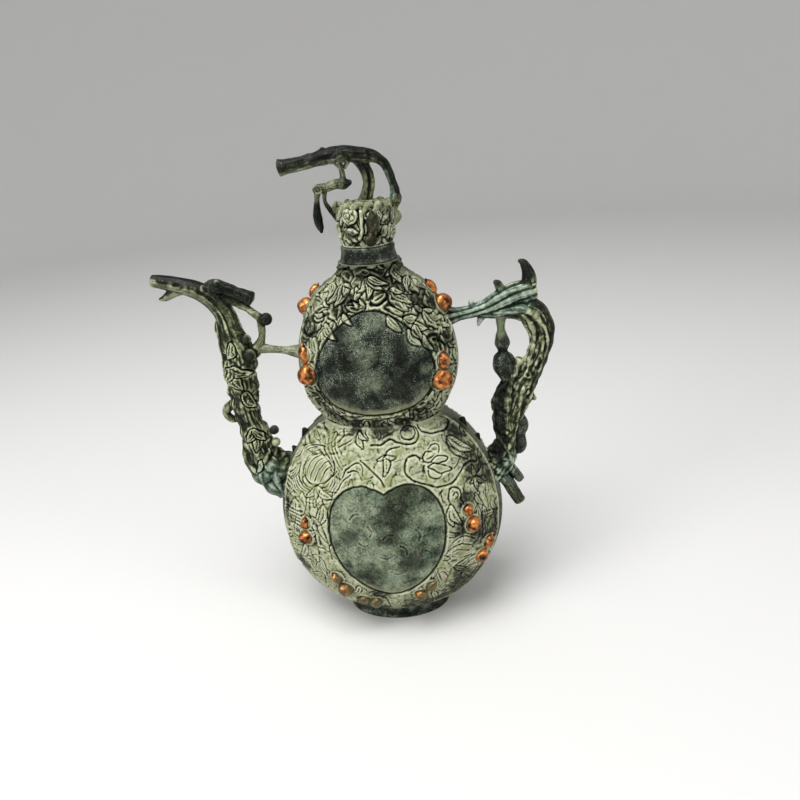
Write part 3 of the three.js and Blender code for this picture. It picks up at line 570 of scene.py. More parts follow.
# %% Graver and leaf punch
def smooth_line(points, spacing):
    """A dense curve through given points, which has no corners."""
    points = np.asarray(points, dtype=float)
    padded = np.vstack([2 * points[0] - points[1], points, 2 * points[-1] - points[-2]])
    made = []
    for p0, p1, p2, p3 in zip(padded, padded[1:], padded[2:], padded[3:]):
        count = max(2, int(np.linalg.norm(p2 - p1) / spacing))
        t = np.linspace(0, 1, count, endpoint=False)[:, None]
        made.append(0.5 * (2 * p1 + (p2 - p0) * t + (2 * p0 - 5 * p1 + 4 * p2 - p3) * t**2
                           + (3 * p1 - p0 - 3 * p2 + p3) * t**3))
    return np.vstack([*made, points[-1:]])


def surface_line(stroke):
    """A smooth line on the body through (turn, height) points."""
    turn, z = np.asarray(stroke, dtype=float).T
    coarse = smooth_line(np.stack([turn, z], axis=1), 1.0)
    return smooth_line(body_point(coarse[:, 0], coarse[:, 1]), 0.3)


def distance_to(points, line, reach):
    """Distance of each point to a dense line, or reach where that is less."""
    far = np.full(len(points), float(reach))
    near = np.all((points > line.min(0) - reach) & (points < line.max(0) + reach), axis=1)
    if near.any():
        chosen = points[near]
        best = np.full(len(chosen), np.inf)
        for part in np.array_split(line, max(1, len(line) // 40)):
            gap = ((chosen[:, None, :] - part[None]) ** 2).sum(-1).min(1)
            best = np.minimum(best, gap)
        far[near] = np.minimum(np.sqrt(best), reach)
    return far


def engrave(height, points, stroke, width, depth, lip):
    """A V-shaped line of a width in mm with a slight burr beside it."""
    gap = distance_to(points, surface_line(stroke), 3 * width)
    height -= depth * np.exp(-((gap / (0.5 * width)) ** 2))
    height += lip * np.exp(-(((gap - 1.3 * width) / (0.5 * width)) ** 2))


def leaf_frame(points, start, end, normal, broad):
    """Each point's place along a leaf (0 to 1), its distance across and the leaf's half width there."""
    axis = end - start
    length = np.linalg.norm(axis)
    axis = axis / length
    side = np.cross(normal, axis)
    offset = points - start
    along = offset @ axis / length
    bend = 0.12 * length * np.sin(math.pi * np.clip(along, 0, 1)) * (1 if start[0] > end[0] else -1)
    across = offset @ side / np.linalg.norm(side) - bend
    on_side = np.abs(offset @ normal) < 0.5 * length + 4
    share = np.clip(along, 0, 1)
    half = broad * length * 2.2 * share**0.6 * (1 - share) ** 0.95
    return along, across, half, length, on_side


def punch_leaf(height, points, start, end, normal, broad, top, moat, vein, cover=0.9, ribbed=0.0):
    """Sets a pointed leaf into the surface, over what is there. A ribbed one has a raised rim and midrib."""
    reach = 0.75 * np.linalg.norm(end - start) + 2
    chosen = np.flatnonzero(np.abs(points - (start + end) / 2).max(axis=1) < reach)
    along, across, half, length, on_side = leaf_frame(points[chosen], start, end, normal, broad)
    inside = on_side & (along > 0) & (along < 1) & (np.abs(across) < half)
    share = np.abs(across) / np.maximum(half, 0.05)
    midrib = np.exp(-((across / 0.42) ** 2)) * (along < 0.93)
    rim = np.exp(-(((1 - share) * half / 0.6) ** 2))
    form = top - 0.1 * (1 - share) - 0.1 * along
    form = form - ribbed * (1 - np.maximum(rim, midrib)) - 0.4 * (ribbed == 0) * midrib
    slant = np.sin(2 * math.pi * (along * length - 1.1 * np.abs(across)) / 1.7)
    form = form - vein * np.maximum(0, slant) * (share < 0.86)
    edge = np.clip((1 - share) * half / 0.35, 0, 1)
    blend_in = cover * edge * inside
    gap = np.where(inside, 0, np.maximum(np.abs(across) - half, np.maximum(-along, along - 1) * length))
    outline = on_side & ~inside & (gap < 1.6)
    here = height[chosen] - moat * outline * np.exp(-(((gap - 0.25) / 0.5) ** 2))
    height[chosen] = here * (1 - blend_in) + form * blend_in


# %% [markdown]
# ### Bare panels and ridges
# Each bulb has one panel without carving: round above, peach-shaped below. Their outlines are cut straight
# through from the front, so they are drawn across and up, as shares of the bulb's half width and of its
# rise or drop. At the sides the carving ends in a smooth raised ridge.

# %% Panels and ridges
ROUND_PANEL = [
    (0, 0.63), (0.12, 0.62), (0.3, 0.54), (0.47, 0.43), (0.61, 0.28), (0.69, 0.14),
    (0.7, -0.04), (0.64, -0.22), (0.49, -0.38), (0.25, -0.47), (0, -0.49),
]
PEACH_PANEL = [
    (0, 0.43), (0.09, 0.47), (0.2, 0.49), (0.34, 0.44), (0.445, 0.32), (0.485, 0.14),
    (0.47, -0.03), (0.42, -0.18), (0.33, -0.32), (0.21, -0.44), (0.09, -0.51), (0, -0.53),
]
RIDGES = {  # heights, then the turn of the ridge on the left and on the right
    "z": [
        8, 20, 29, 37, 44, 50, 59, 71, 83, 95, 104, 112, 120, 127, 134, 142, 150, 158, 165, 173, 187,
    ],
    "left": [
        -60, -64, -66, -68, -68, -67, -67, -68, -72, -74, -75, -72, -70, -68, -66, -66, -68, -70, -72, -74,
        -74,
    ],
    "right": [
        56, 60, 63, 66, 68, 69, 70, 72, 75, 76, 76, 74, 72, 72, 74, 76, 77, 77, 76, 75, 75,
    ],
}


def panel_line(bulb, half_outline):
    right = [(x * bulb["width"] / 2, bulb["middle"] + up * (bulb["rise"] if up > 0 else bulb["drop"]))
             for x, up in half_outline]
    loop = right + [(-x, z) for x, z in right[-2:0:-1]]
    return smooth_line(loop + loop[:1], 0.5)


def panel_distance(points, line):
    """Signed distance in the front view: below 0 inside the panel."""
    flat = points[:, [0, 2]]
    gap = distance_to(flat, line, 12)
    x, z = flat.T
    inside = np.zeros(len(flat), dtype=bool)
    for (x1, z1), (x2, z2) in zip(line, np.roll(line, -1, axis=0)):
        if z1 != z2:
            crosses = ((z1 > z) != (z2 > z)) & (x < (x2 - x1) * (z - z1) / (z2 - z1) + x1)
            inside ^= crosses
    return np.where(inside, -gap, gap)


def step_up(value, low, high):
    share = np.clip((value - low) / (high - low), 0, 1)
    return share * share * (3 - 2 * share)


panel_lines = {"lower": panel_line(LOWER, PEACH_PANEL), "upper": panel_line(UPPER, ROUND_PANEL)}
print("panel outlines:", {name: len(line) for name, line in panel_lines.items()})

# %% [markdown]
# ### The drawing of the carving
# Vines and flower outlines are lines with a width. Leaves fan out from one base to several tips. All places
# are (turn from the front in degrees, height in mm).

# %% Drawing
LOWER_LINES = [  # width, then the places along each line
    # vine, scroll, fruit and heart over the panel
    (1.0, [(63.5, 89.6), (56.4, 90.9), (49.8, 89.8), (46.2, 87.8), (41.3, 85.8), (36, 84.2), (29.5, 84.5),
     (22.3, 87.2), (17.6, 88.6)]),
    (0.9, [(24.9, 98.5), (21.3, 100), (17.2, 99.4), (13.9, 96.8), (13.3, 93.3), (14.9, 90.6), (17.6, 88.6)]),
    (0.9, [(-7.1, 105.2), (0.6, 105.6), (8.3, 107.3), (12.5, 105.7), (19.2, 104.6), (26.5, 105.2),
     (30.8, 107.6), (31.6, 110.6), (25.7, 111.6)]),
    (0.7, [(25.5, 111.4), (19.1, 110.6), (16.5, 108.8), (17.6, 106.9), (22.2, 106.2), (26.7, 107.2),
     (29.4, 109.1), (29.1, 110.8), (25.5, 111.4)]),
    (1.0, [(38, 114.6), (35.7, 111.2), (34.8, 108.5), (39.4, 106.9), (48, 106.5), (58.6, 106.5),
     (67.1, 107.6), (71, 109.2), (67.7, 111.5)]),
    (0.7, [(46.9, 116.1), (55.2, 112.3), (56.1, 110.8)]), (0.8, [(36.9, 115.3), (40.1, 118), (44.5, 119.2)]),
    (0.8, [(2.5, 100.7), (3.9, 102.4), (7.2, 103.6), (12.4, 103.9)]),
    # acanthus beside the panel's notch
    (0.9, [(-12.8, 98.8), (-9.5, 97.1), (-4.9, 94.3), (-1.3, 91), (0.7, 88)]),
    (0.6, [(-23.3, 91.7), (-22, 94.7), (-18.3, 97.3), (-14.3, 98.1), (-11.9, 96.4), (-11.1, 92.9)]),
    (0.6, [(-20.7, 94), (-16.8, 94.9), (-13.6, 93.9), (-11.4, 90.7)]),
    (0.6, [(-25.3, 85.9), (-23.8, 88.7), (-20.3, 91.9), (-19.1, 93.4)]),
    # swirls at the upper left
    (0.7, [(-36, 115.4), (-36, 111.4), (-32.3, 108.4), (-33.8, 105.6), (-36.8, 103.4)]),
    (0.6, [(-46.3, 104.2), (-48.4, 106.4), (-45.9, 108.7), (-42.1, 109.3), (-39.1, 108.2), (-39, 105.9),
     (-42.7, 104.2), (-46.3, 104.2)]),
    # chrysanthemum
    (0.8, [(-55.9, 94.6), (-54.7, 90.4), (-49.1, 87.5), (-42.6, 86.3), (-35.5, 87.6), (-31.7, 90.2),
     (-29.9, 93.3), (-30.2, 96.2), (-33.7, 98.7), (-39.9, 100.3)]),
    (0.5, [(-48.9, 89.9), (-50.1, 93.7), (-48.1, 97), (-44.1, 99.8)]),
    (0.5, [(-44.9, 88.3), (-45.4, 92.9), (-43.1, 97), (-39, 99.3)]),
    (0.5, [(-41.2, 87.7), (-40.5, 92.1), (-38.1, 96.1), (-34.6, 98)]),
    (0.5, [(-37.4, 87.9), (-35.9, 91.9), (-33.6, 95.2), (-31, 96.1)]),
    (0.5, [(-60.9, 95.6), (-61.2, 98.7), (-56.3, 101.4), (-49.8, 102.7)]),
    (0.5, [(-34.4, 87.9), (-30.8, 91), (-27.9, 94.2)]),
    (0.5, [(-54.3, 92.1), (-55.4, 95.8), (-53.2, 98.9), (-48.3, 101.1)]),
    # vines below it
    (0.8, [(-56.8, 77.4), (-49.9, 77.4), (-42.2, 71.4), (-35.3, 68.4), (-30.8, 59.3), (-30.3, 48.6)]),
    (0.7, [(-39.6, 54.4), (-33.6, 54.4), (-30.1, 51.7), (-27.7, 49.1)]),
    (0.7, [(-48.5, 54.8), (-44.9, 50.9), (-43.3, 45.1)]),
    (0.5, [(-46.9, 46.1), (-40.5, 49.1), (-38.4, 47.6)]),
    # loop on the right
    (0.8, [(33.9, 74.4), (33.8, 78.6), (35.6, 81.8), (38.7, 82.8), (41.4, 81.3), (42.1, 78.2), (40.7, 76),
     (42.1, 72.2)]),
    (0.6, [(36.8, 79.1), (39, 80.4), (40, 78.6), (37.6, 77.1)]),
    # hatching at the lower right
    (0.6, [(32.2, 55), (36.1, 56.7), (41.3, 56), (46.3, 53.2)]),
    (0.6, [(32.6, 52.5), (37, 53.1), (44.7, 50.1)]), (0.6, [(32.2, 49.5), (36.1, 50.1), (42.7, 47.3)]),
    (0.6, [(32.3, 47), (38.6, 45), (44.3, 44.1)]),
    (0.6, [(25, 38), (27.8, 38.6), (31.4, 33.7), (28.1, 32.6), (25, 38)]),
    # lotus
    (0.7, [(28.8, 100.2), (26.1, 98.7), (25.8, 96.8), (27.4, 95.6), (30.5, 95.7)]),
    (0.7, [(28.8, 100.2), (32.2, 100), (34.5, 98.6), (31.7, 97.6), (27.7, 97.3)]),
    (0.7, [(30.7, 96.1), (36.5, 97.6), (42.7, 96.2), (38.3, 94.6), (33.1, 94.5)]),
    (0.7, [(27.1, 94), (31.2, 95), (35.6, 93.8), (41.6, 91.1), (37.5, 90.4), (32.1, 90.7), (27.1, 94)]),
    (0.7, [(26.7, 92.4), (26.4, 90.2), (28.8, 88.6), (32.3, 88.5), (33.7, 90)]),
    (0.6, [(22.3, 99.9), (23.6, 98.7), (24.1, 97), (26.3, 96.2)]),
    (0.6, [(32, 101.2), (36.1, 102.7), (39.8, 102.3), (40.1, 100.7), (37.9, 99.2)]),
    # strands like hair
    (0.6, [(-19.7, 110.8), (-22.1, 108.2), (-26.1, 106.1), (-31.3, 103.8)]),
    (0.6, [(-12.4, 114.5), (-13.3, 110.2), (-10.2, 107.7)]),
    (0.6, [(-35, 85.9), (-37.5, 81.6), (-37.9, 76.6), (-35.3, 71.9)]),
    (0.6, [(-28.2, 84.4), (-28.6, 79.6), (-31.2, 74.3)]),
    (0.7, [(-56.1, 74.9), (-53.5, 67.5), (-56.3, 59.1), (-51, 54)]),
    (0.6, [(-62, 97), (-64.9, 99.6), (-56.2, 102.5), (-43.4, 103.4)]),
]
UPPER_LINES = [
    # arc, eye and knot under the collar
    (0.9, [(-15.7, 184.9), (-9.1, 186.2), (2.7, 185.9), (16, 184), (28.7, 183.1)]),
    (0.5, [(-2.8, 184.9), (-5.9, 184.2), (-3.3, 183.4), (-0.3, 184.1), (-2.8, 184.9)]),
    (0.8, [(-56.9, 184.7), (-39.9, 185.3), (-27.8, 183.9), (-25.3, 181.8), (-28, 179.8), (-40.9, 180.7)]),
    # stem
    (0.8, [(2.2, 171.5), (6.8, 170.1), (13.5, 171.5), (19.9, 174.6), (24.4, 176.2)]),
    # scrolls on the left
    (0.8, [(-45.4, 170), (-55.2, 167.2), (-55.4, 164.1), (-48.2, 162.8), (-42.3, 164.3), (-41.6, 166.2),
     (-36.2, 167.3)]),
    (0.7, [(-36.8, 165.8), (-30.4, 164.5), (-30.5, 161.8), (-26.3, 158.6), (-21.9, 158.9), (-20.6, 161.4)]),
    # meander on the right
    (0.9, [(65.4, 160), (63.8, 156.3), (62.4, 152.5), (66.9, 151.1), (71.8, 153.2), (74.1, 157.2)]),
    (0.9, [(43, 150.5), (43.2, 153.8), (48.1, 154.9), (53.1, 153.7), (54.5, 150.9), (59, 148.5),
     (57, 146.5)]),
    (0.7, [(48.1, 152.5), (51.4, 152.5), (52.6, 150.5), (54, 145.6)]),
    # lines round the lower edge
    (0.7, [(-58.2, 130.4), (-48.7, 129.8), (-44.2, 127.3)]),
    (0.8, [(-48.9, 134.6), (-44.2, 130.4), (-39, 125.5), (-32.9, 121.2)]),
    (0.7, [(-27.7, 119.4), (-15.4, 119.1), (-5.8, 120)]),
    (0.7, [(5.1, 118.2), (16.6, 118.6), (27.5, 121.9), (36.7, 123.7)]),
    # loops
    (0.6, [(-18.6, 171.8), (-14.8, 172.8), (-10.6, 172.2), (-7.8, 170.6), (-10.1, 169.2), (-14, 170.1)]),
    # pods
    (0.8, [(1.2, 173.2), (8.3, 174.7), (17.5, 175.4), (17, 173.2), (9.4, 170.7), (3.3, 170.6), (1.2, 173.2)]),
    (0.8, [(12.8, 169.9), (20.3, 170.1), (28.9, 167.7), (28.9, 165.9), (22.5, 165.2), (12.8, 169.9)]),
]
OVERHANGS = [  # leaves whose tips hang over the top edge of the upper panel
    ((-38, 163.5), (-26.5, 156.5)), ((-22, 168), (-14, 163)), ((15, 166), (23.5, 159)),
    ((29, 159), (35.5, 151)), ((34, 161), (40, 153)), ((40, 156), (45, 148)), ((-48, 157), (-41.5, 147)),
]
LOWER_SPRAYS = [  # base, then the tips of the leaves that fan out from it
    ((2.5, 100.7), [(-2.7, 99.5), (1.1, 92.6), (8.7, 100)]),
    ((52.9, 103.4), [(56.7, 92.6), (54.2, 97.2), (67.8, 94)]), ((75.2, 103.9), [(78.4, 101), (71.1, 100.5)]),
    ((-19.4, 110.4), [(-19.6, 106.6), (-13.5, 104.2), (-11.3, 107.1)]),
    ((-39.8, 85.6), [(-46, 79.5), (-39.2, 75.5), (-32.2, 76.3), (-27.2, 81.4)]),
    ((-50.8, 80.6), [(-51.5, 73.5), (-47.5, 70.1)]), ((-33, 77.4), [(-29.2, 56.8), (-36.5, 66.4)]),
    ((56.6, 83.2), [(57.5, 88.7), (66.6, 86.1), (50.4, 81.8), (54, 76.9), (61.8, 79.2)]),
    ((34.3, 74.3), [(30.3, 71), (33.6, 63.6), (38.5, 63.4)]),
    ((34.7, 39.5), [(51.5, 43.9), (44.3, 44.1), (42.5, 37.2)]),
    ((-46.9, 53.3), [(-42.5, 45.3), (-56.4, 43.7)]), ((-19.1, 32.2), [(-14.8, 27.3), (-25.2, 25.4)]),
    ((16, 29.7), [(11.5, 24.9), (19.5, 32.8)]),
]
UPPER_SPRAYS = [
    ((2.4, 181.9), [(-12.1, 176.2), (-1.5, 173.3), (16.7, 176.1), (26.3, 178.4)]),
    ((-35.3, 180.2), [(-40.6, 171.9), (-31.4, 170.3), (-25.4, 174.3), (-21.5, 177.9)]),
    ((-55.4, 178.8), [(-57.7, 175.3), (-44.3, 173.1)]),
    ((53.1, 185.4), [(30.6, 181.3), (33.8, 178.3), (44.4, 177.4), (72.1, 179)]),
    ((63.4, 179.3), [(52.1, 175), (54, 172.6), (42.2, 173.9)]),
    ((24.6, 176.7), [(21.1, 172.2), (26.6, 169), (33.9, 166.6), (41.3, 169.6), (37.7, 174.7)]),
    ((27.8, 164.5), [(32.3, 158), (36.3, 149.9), (42.5, 153.7), (46.7, 158.2), (41.2, 163.9)]),
    ((49.9, 166.1), [(65.4, 160), (55.6, 156.7), (59.9, 164.4)]),
    ((-2.9, 170.4), [(-18.6, 168.1), (-20.1, 170.6), (-15.5, 172.8), (-8.2, 173.7)]),
    ((-37.2, 161.2), [(-43.9, 155.6), (-37.7, 148), (-32.6, 158.7)]),
    ((-31.2, 164.8), [(-23.7, 158.2), (-33.3, 161.1)]), ((19.2, 164.4), [(23.8, 159.2)]),
    ((-48.5, 186.9), [(-79.4, 182.4), (-36.3, 186)]), ((19.1, 187), [(-1.7, 186.6), (31.5, 185)]),
]
print("lines:", len(LOWER_LINES) + len(UPPER_LINES), "sprays:", len(LOWER_SPRAYS) + len(UPPER_SPRAYS))

# %% [markdown]
# ### Heights of the whole surface
# First the ground of the field rises inside the ridges and outside the panels. Then come lines and leaves,
# with the small ones that fill the ground between the drawn ones. The lower bulb is a pale ground with thin
# dark lines, and the upper bulb is cut deeper, leaf over leaf. A hand never cuts the same line twice, so
# the places are bent by a little noise before any tool works on them.

# %% Ground, ridges and panels
GROUND, FULL_RELIEF = 0.5, 1.2  # heights of the field's ground and of its leaves above the bare metal
SEAT_MARGIN = 1.0  # the carving rises this far round each gourd boss


def carved_ground(points, turn, z, bulb):
    """Heights of the bare metal, ridges and ground, and masks of the panel, the sides and the field."""
    left = np.interp(z, RIDGES["z"], RIDGES["left"])
    right = np.interp(z, RIDGES["z"], RIDGES["right"])
    a, b = body_halves(z)
    angle = np.radians(turn)
    per_degree = np.radians(1) * np.hypot(a * np.cos(angle), b * np.sin(angle))
    wobble = 1.4 * value_noise(points, 9.0, 3)
    within = np.minimum(turn - left, right - turn) * per_degree + wobble
    panel = panel_distance(points, panel_lines[bulb]) + 0.5 * value_noise(points, 5.0, 4)
    rough = 0.3 * value_noise(points, 2.2, 1) + 0.22 * value_noise(points, 0.9, 2)
    field = step_up(within, -0.6, 0.9) * step_up(panel, 0.2, 1.0)
    height = field * (GROUND + rough)
    height += 0.75 * np.exp(-((within - 0.4) / 1.1) ** 2) * step_up(panel, 0, 1.5)
    lip = np.exp(-(((panel - 1.2) / 0.5) ** 2)) * field * step_up(value_noise(points, 4.0, 8), -0.4, 0.2)
    height = height * (1 - 0.7 * lip) + 0.7 * lip
    height -= 0.5 * np.exp(-(((panel - 0.2) / 0.35) ** 2)) * step_up(within, 0, 2)
    end = np.minimum(step_up(z, 6.5, 9), step_up(-z, -187, -185.4))
    waist = np.clip(np.abs(z - WAIST) / 2.5, 0.15, 1)
    side = 1 - step_up(within, -2.4, 0.4)
    # a broad hammered unevenness keeps the bare parts from looking turned
    dents = 0.16 * value_noise(points, 13.0, 5) + 0.07 * value_noise(points, 4.0, 6)
    return height * end * waist + dents, 1 - step_up(panel, -0.1, 0.5), side, field * end * waist


def bent_by_hand(points, size, amount, seed):
    """Places shifted by smooth noise, so that what is cut there is slightly irregular."""
    return points + amount * np.stack([value_noise(points, size, seed + k) for k in range(3)], axis=1)


def curls(points, size, width, seed):
    """1 on thin closed curls, which are the places where a smooth noise crosses its middle."""
    return np.exp(-((value_noise(points, size, seed) * size / width) ** 2))


def strands(points, size, spacing, seed):
    """Ridges and grooves side by side that follow gentle swirls, like combed wax threads."""
    return np.cos(2 * math.pi * value_noise(points, size, seed) * size / spacing)


def filler_leaves(bulb, seed, taken, apart):
    """Small leaves over the ground that the drawn ones leave open, pointing along gentle swirls."""
    rng = np.random.default_rng(seed)
    low, high, spacing = {"lower": (9, 110, 7.5), "upper": (116, 186, 4.7)}[bulb]
    leaves = []
    for z in np.arange(low, high, spacing):
        a, b = body_halves(z)
        degrees = np.degrees(spacing / (0.5 * (a + b)))
        for turn in np.arange(-72, 72, degrees):
            turn_here = turn + rng.uniform(-0.3, 0.3) * degrees
            z_here = z + rng.uniform(-0.3, 0.3) * spacing
            swirl = rng.uniform(0, 2 * math.pi) if bulb == "lower" else rng.normal(-math.pi / 2, 0.9)
            length = rng.uniform(0.9, 1.5) * spacing
            turn_tip = turn_here + math.cos(swirl) * length / spacing * degrees
            z_tip = z_here + math.sin(swirl) * length
            middle = body_point((turn_here + turn_tip) / 2, (z_here + z_tip) / 2)
            if np.linalg.norm(taken - middle, axis=1).min() > apart * spacing:
                leaves.append(((turn_here, z_here), (turn_tip, z_tip)))
    return leaves


def drawn_leaves(sprays):
    return [(base, tip) for base, tips in sprays for tip in tips]


def samples_of(leaves, lines):
    """Points along everything that is drawn, to keep the small leaves off it."""
    made = [surface_line([base, tip])[::4] for base, tip in leaves]
    made += [surface_line(stroke)[::6] for _, stroke in lines]
    return np.vstack(made)


# %% [markdown]
# ### Flowers and seats
# A lotus and a chrysanthemum sit on the lower bulb as low round pads with petals cut into them. Each gilt
# gourd has a seat at the full height of the carving.

# %% Pads and seats
FLOWERS = [(-42, 93, 7.4), (34.1, 94.2, 6.6)]  # turn, height, radius
BOSSES = [  # turn, height and radius of the large lobe, then of the small one
    (-53, 139.5, 4.9, -57, 148.2, 3.2), (50.5, 134, 4.9, 53, 142.6, 3.2), (80, 165.4, 4.2, 81, 172.6, 2.9),
    (-45, 58.6, 3.4, -44.6, 66.4, 2.6), (45.5, 62, 3.7, 43.5, 70, 2.7), (53.5, 41, 3.5, 57.5, 48, 2.8),
    (-28, 29.8, 4, -30.6, 37, 3), (-12, 20.6, 3.3, -19.5, 22, 2.6), (16.4, 25.6, 3.3, 21.6, 31, 2.6),
]


def raise_to(height, gap, radius, top, soft=0.7):
    """Lifts the surface to a height inside a radius, with a soft edge."""
    share = 1 - step_up(gap, radius - soft, radius + soft)
    height += share * np.maximum(0, top - height)


def seat_bosses(height, points):
    """Pads under the gourds, with a groove where the gilding was kept off the ground."""
    for turn_1, z_1, large, turn_2, z_2, small in BOSSES:
        for place, radius in ((body_point(turn_1, z_1), large), (body_point(turn_2, z_2), small)):
            gap = np.linalg.norm(points - place, axis=1)
            raise_to(height, gap, radius + SEAT_MARGIN, FULL_RELIEF)
            height -= 0.5 * np.exp(-(((gap - radius - 0.2) / 0.5) ** 2))


def body_leaf(height, points, base, tip, **look):
    middle = (np.array(base) + tip) / 2
    punch_leaf(height, points, body_point(*base), body_point(*tip), body_normal(*middle), **look)


# %% Carve one bulb
UPPER_LEAF = {"broad": 0.24, "top": 1.35, "moat": 0.9, "vein": 0.12, "ribbed": 0.62}
UPPER_FILLER = {"broad": 0.2, "top": 0.95, "moat": 0.6, "vein": 0.16, "ribbed": 0.6}
LOWER_LEAF = {"broad": 0.2, "top": 1.0, "moat": 0.75, "vein": 0.22}
LOWER_FILLER = {"broad": 0.17, "top": 0.75, "moat": 0.4, "vein": 0.14, "cover": 0.5}


def carve_upper(cut, points):
    hand = bent_by_hand(points, 3.0, 1.3, 14)
    cut -= 0.5 * curls(hand, 3.4, 0.5, 12) + 0.4 * curls(hand, 5.0, 0.5, 13)
    leaves = drawn_leaves(UPPER_SPRAYS)
    for base, tip in filler_leaves("upper", 11, samples_of(leaves, UPPER_LINES), 0.3):
        body_leaf(cut, hand, base, tip, **UPPER_FILLER)
    for base, tip in leaves:
        body_leaf(cut, hand, base, tip, **UPPER_LEAF)
    for width, stroke in UPPER_LINES:
        engrave(cut, hand, stroke, 1.3 * width, 1.0, 0.4)


def carve_lower(cut, points, turn, z):
    hand = bent_by_hand(points, 3.0, 0.9, 24)
    hair = step_up(-turn, 20, 36) * step_up(z, 45, 60)
    cut += 0.26 * hair * strands(hand, 15.0, 1.1, 22)
    cut -= (0.25 + 0.3 * hair) * curls(hand, 8.0, 0.35, 23) + 0.16 * curls(hand, 3.6, 0.24, 25)
    leaves = drawn_leaves(LOWER_SPRAYS)
    for base, tip in filler_leaves("lower", 7, samples_of(leaves, LOWER_LINES), 0.5):
        body_leaf(cut, hand, base, tip, **LOWER_FILLER)
    for turn_here, z_here, radius in FLOWERS:
        gap = np.linalg.norm(points - body_point(turn_here, z_here), axis=1)
        raise_to(cut, gap, radius, 0.95)
    for base, tip in leaves:
        body_leaf(cut, hand, base, tip, **LOWER_LEAF)
    for width, stroke in LOWER_LINES:
        engrave(cut, hand, stroke, width, 1.0, 0.1)


def hang_leaves(height, points, panel):
    """Leaf tips over the panel's top edge. They hide the bare metal under them."""
    before = height.copy()
    hand = bent_by_hand(points, 3.0, 1.3, 14)
    for base, tip in OVERHANGS:
        body_leaf(height, hand, base, tip, **UPPER_LEAF)
    panel *= height < before + 0.35


def carve(points, turn, z, bulb):
    height, panel, side, field = carved_ground(points, turn, z, bulb)
    cut = height.copy()
    if bulb == "upper":
        carve_upper(cut, points)
    else:
        carve_lower(cut, points, turn, z)
    height += (cut - height) * field
    if bulb == "upper":
        hang_leaves(height, points, panel)
    else:
        for scratch in PANEL_SCRATCHES:
            engrave(height, points, scratch, 0.7, 0.22, 0.1)
    seat_bosses(height, points)
    return height, panel, side


# %% [markdown]
# ### Painted shade, dirt and crust
# Painted shade darkens the top under the collar, the waist under the upper bulb, the foot and the right side,
# which faces away from the lamps, and dark dirt lies in patches elsewhere. A pale crust has run together on
# the lower rim of the panels, and pale dust blooms on them in clouds. All are masks with noise in their
# edges.

# %% Painted shade, dirt and crust
# Dark places: painted shade under the upper bulb, under the collar, at the foot and along the right side, and
# dirt in patches elsewhere.
SOOT_AND_SHADE = [  # turn, height and radius of each dark place
    (38, 179, 9), (14, 186, 6), (-35, 187, 5), (58, 170, 8), (0, 112, 6), (-22, 114, 5), (24, 114, 5),
    (66, 84, 8), (52, 56, 8), (68, 52, 12), (70, 104, 8), (20, 12, 10), (50, 22, 12), (-20, 10, 9),
    (-58, 38, 6), (-70, 70, 8), (46, 152, 5), (-60, 160, 6), (-48, 128, 5), (-8, 26, 5), (44, 74, 5),
    (60, 90, 8), (38, 62, 5), (56, 102, 5), (40, 36, 5), (-22, 16, 5), (36, 16, 6), (0, 184, 5),
    (48, 178, 6), (62, 150, 5), (-24, 172, 6), (22, 158, 4), (36, 118, 6), (-38, 118, 5), (70, 30, 12),
]
PANEL_SCRATCHES = [
    [(-9, 69), (-7.4, 66), (-8.2, 63.5)], [(-14, 60), (-12, 58.4), (-9.5, 58.8)],
    [(6, 58), (8.5, 56), (9, 53)], [(-4, 52), (-1, 51), (1.5, 52.2)], [(14, 66), (16, 63), (15, 60)],
    [(-18, 72), (-16, 74.5), (-13.4, 75)], [(0, 43), (3, 41), (6, 41.6)], [(18, 54), (20.5, 52), (21, 49)],
    [(-2, 62), (0, 64), (3, 64.2)],
]
PANEL_SMUDGES = [
    (9, 84, 8), (3, 73, 7), (0, 62, 5), (-19, 63, 4), (-10, 41, 6), (11, 47, 6), (22, 52, 3), (24, 84, 4),
    (-20, 134, 5), (16, 134, 5), (18, 152, 4),
]
CRUST_HEIGHTS = {"lower": (-42, -28), "upper": (-133, -122)}  # where it ends and is full, as -z
DUST_SHARE = {"lower": 0.85, "upper": 0.4}
DUST_CLOUDS = [  # pale blooms on the bare panels
    (-16, 79, 8), (-14, 54, 8), (-24, 68, 5), (2, 33, 6), (24, 72, 5), (19, 40, 4), (-6, 149, 4.5),
    (-1, 138, 5), (3, 164, 4.5), (-13, 159, 3.5), (31, 155, 4), (37, 141, 2.2), (34, 131, 3.5),
    (12, 124, 4), (-24, 126, 3),
]


def spots(points, places, soft=0.35):
    """A mask of round places on the body, each with a frayed edge."""
    frayed = 0.7 * value_noise(points, 4.0, 91) + 0.7 * value_noise(points, 1.4, 92)
    frayed += 0.4 * value_noise(points, 0.7, 96)
    mask = np.zeros(len(points))
    for turn, z, radius in places:
        gap = np.linalg.norm(points - body_point(turn, z), axis=1) / radius
        mask = np.maximum(mask, 1 - step_up(gap + frayed, 1 - soft, 1 + soft))
    return mask


def soot_and_shade_of(points, panel, gap, height):
    """Dirt and painted shade, a dark line round a panel and painted shade under the collar. Crests are rubbed
    clean.
    """
    rubbed = 0.7 * step_up(height, 0.4, 0.85)
    smudges = 0.7 * spots(points, PANEL_SMUDGES, 0.6)
    places = np.where(panel > 0.5, smudges, 0.95 * (1 - rubbed) * spots(points, SOOT_AND_SHADE))
    line = 1 - step_up(np.abs(gap - 0.2 + 0.9 * value_noise(points, 2.0, 95)), 0.25, 0.8)
    # Painted shade under the collar, at the top of the body.
    under_collar_shade = step_up(points[:, 2] + 5 * value_noise(points, 3.0, 97), 181, 184)
    return np.maximum(places, 0.9 * np.maximum(line, under_collar_shade))


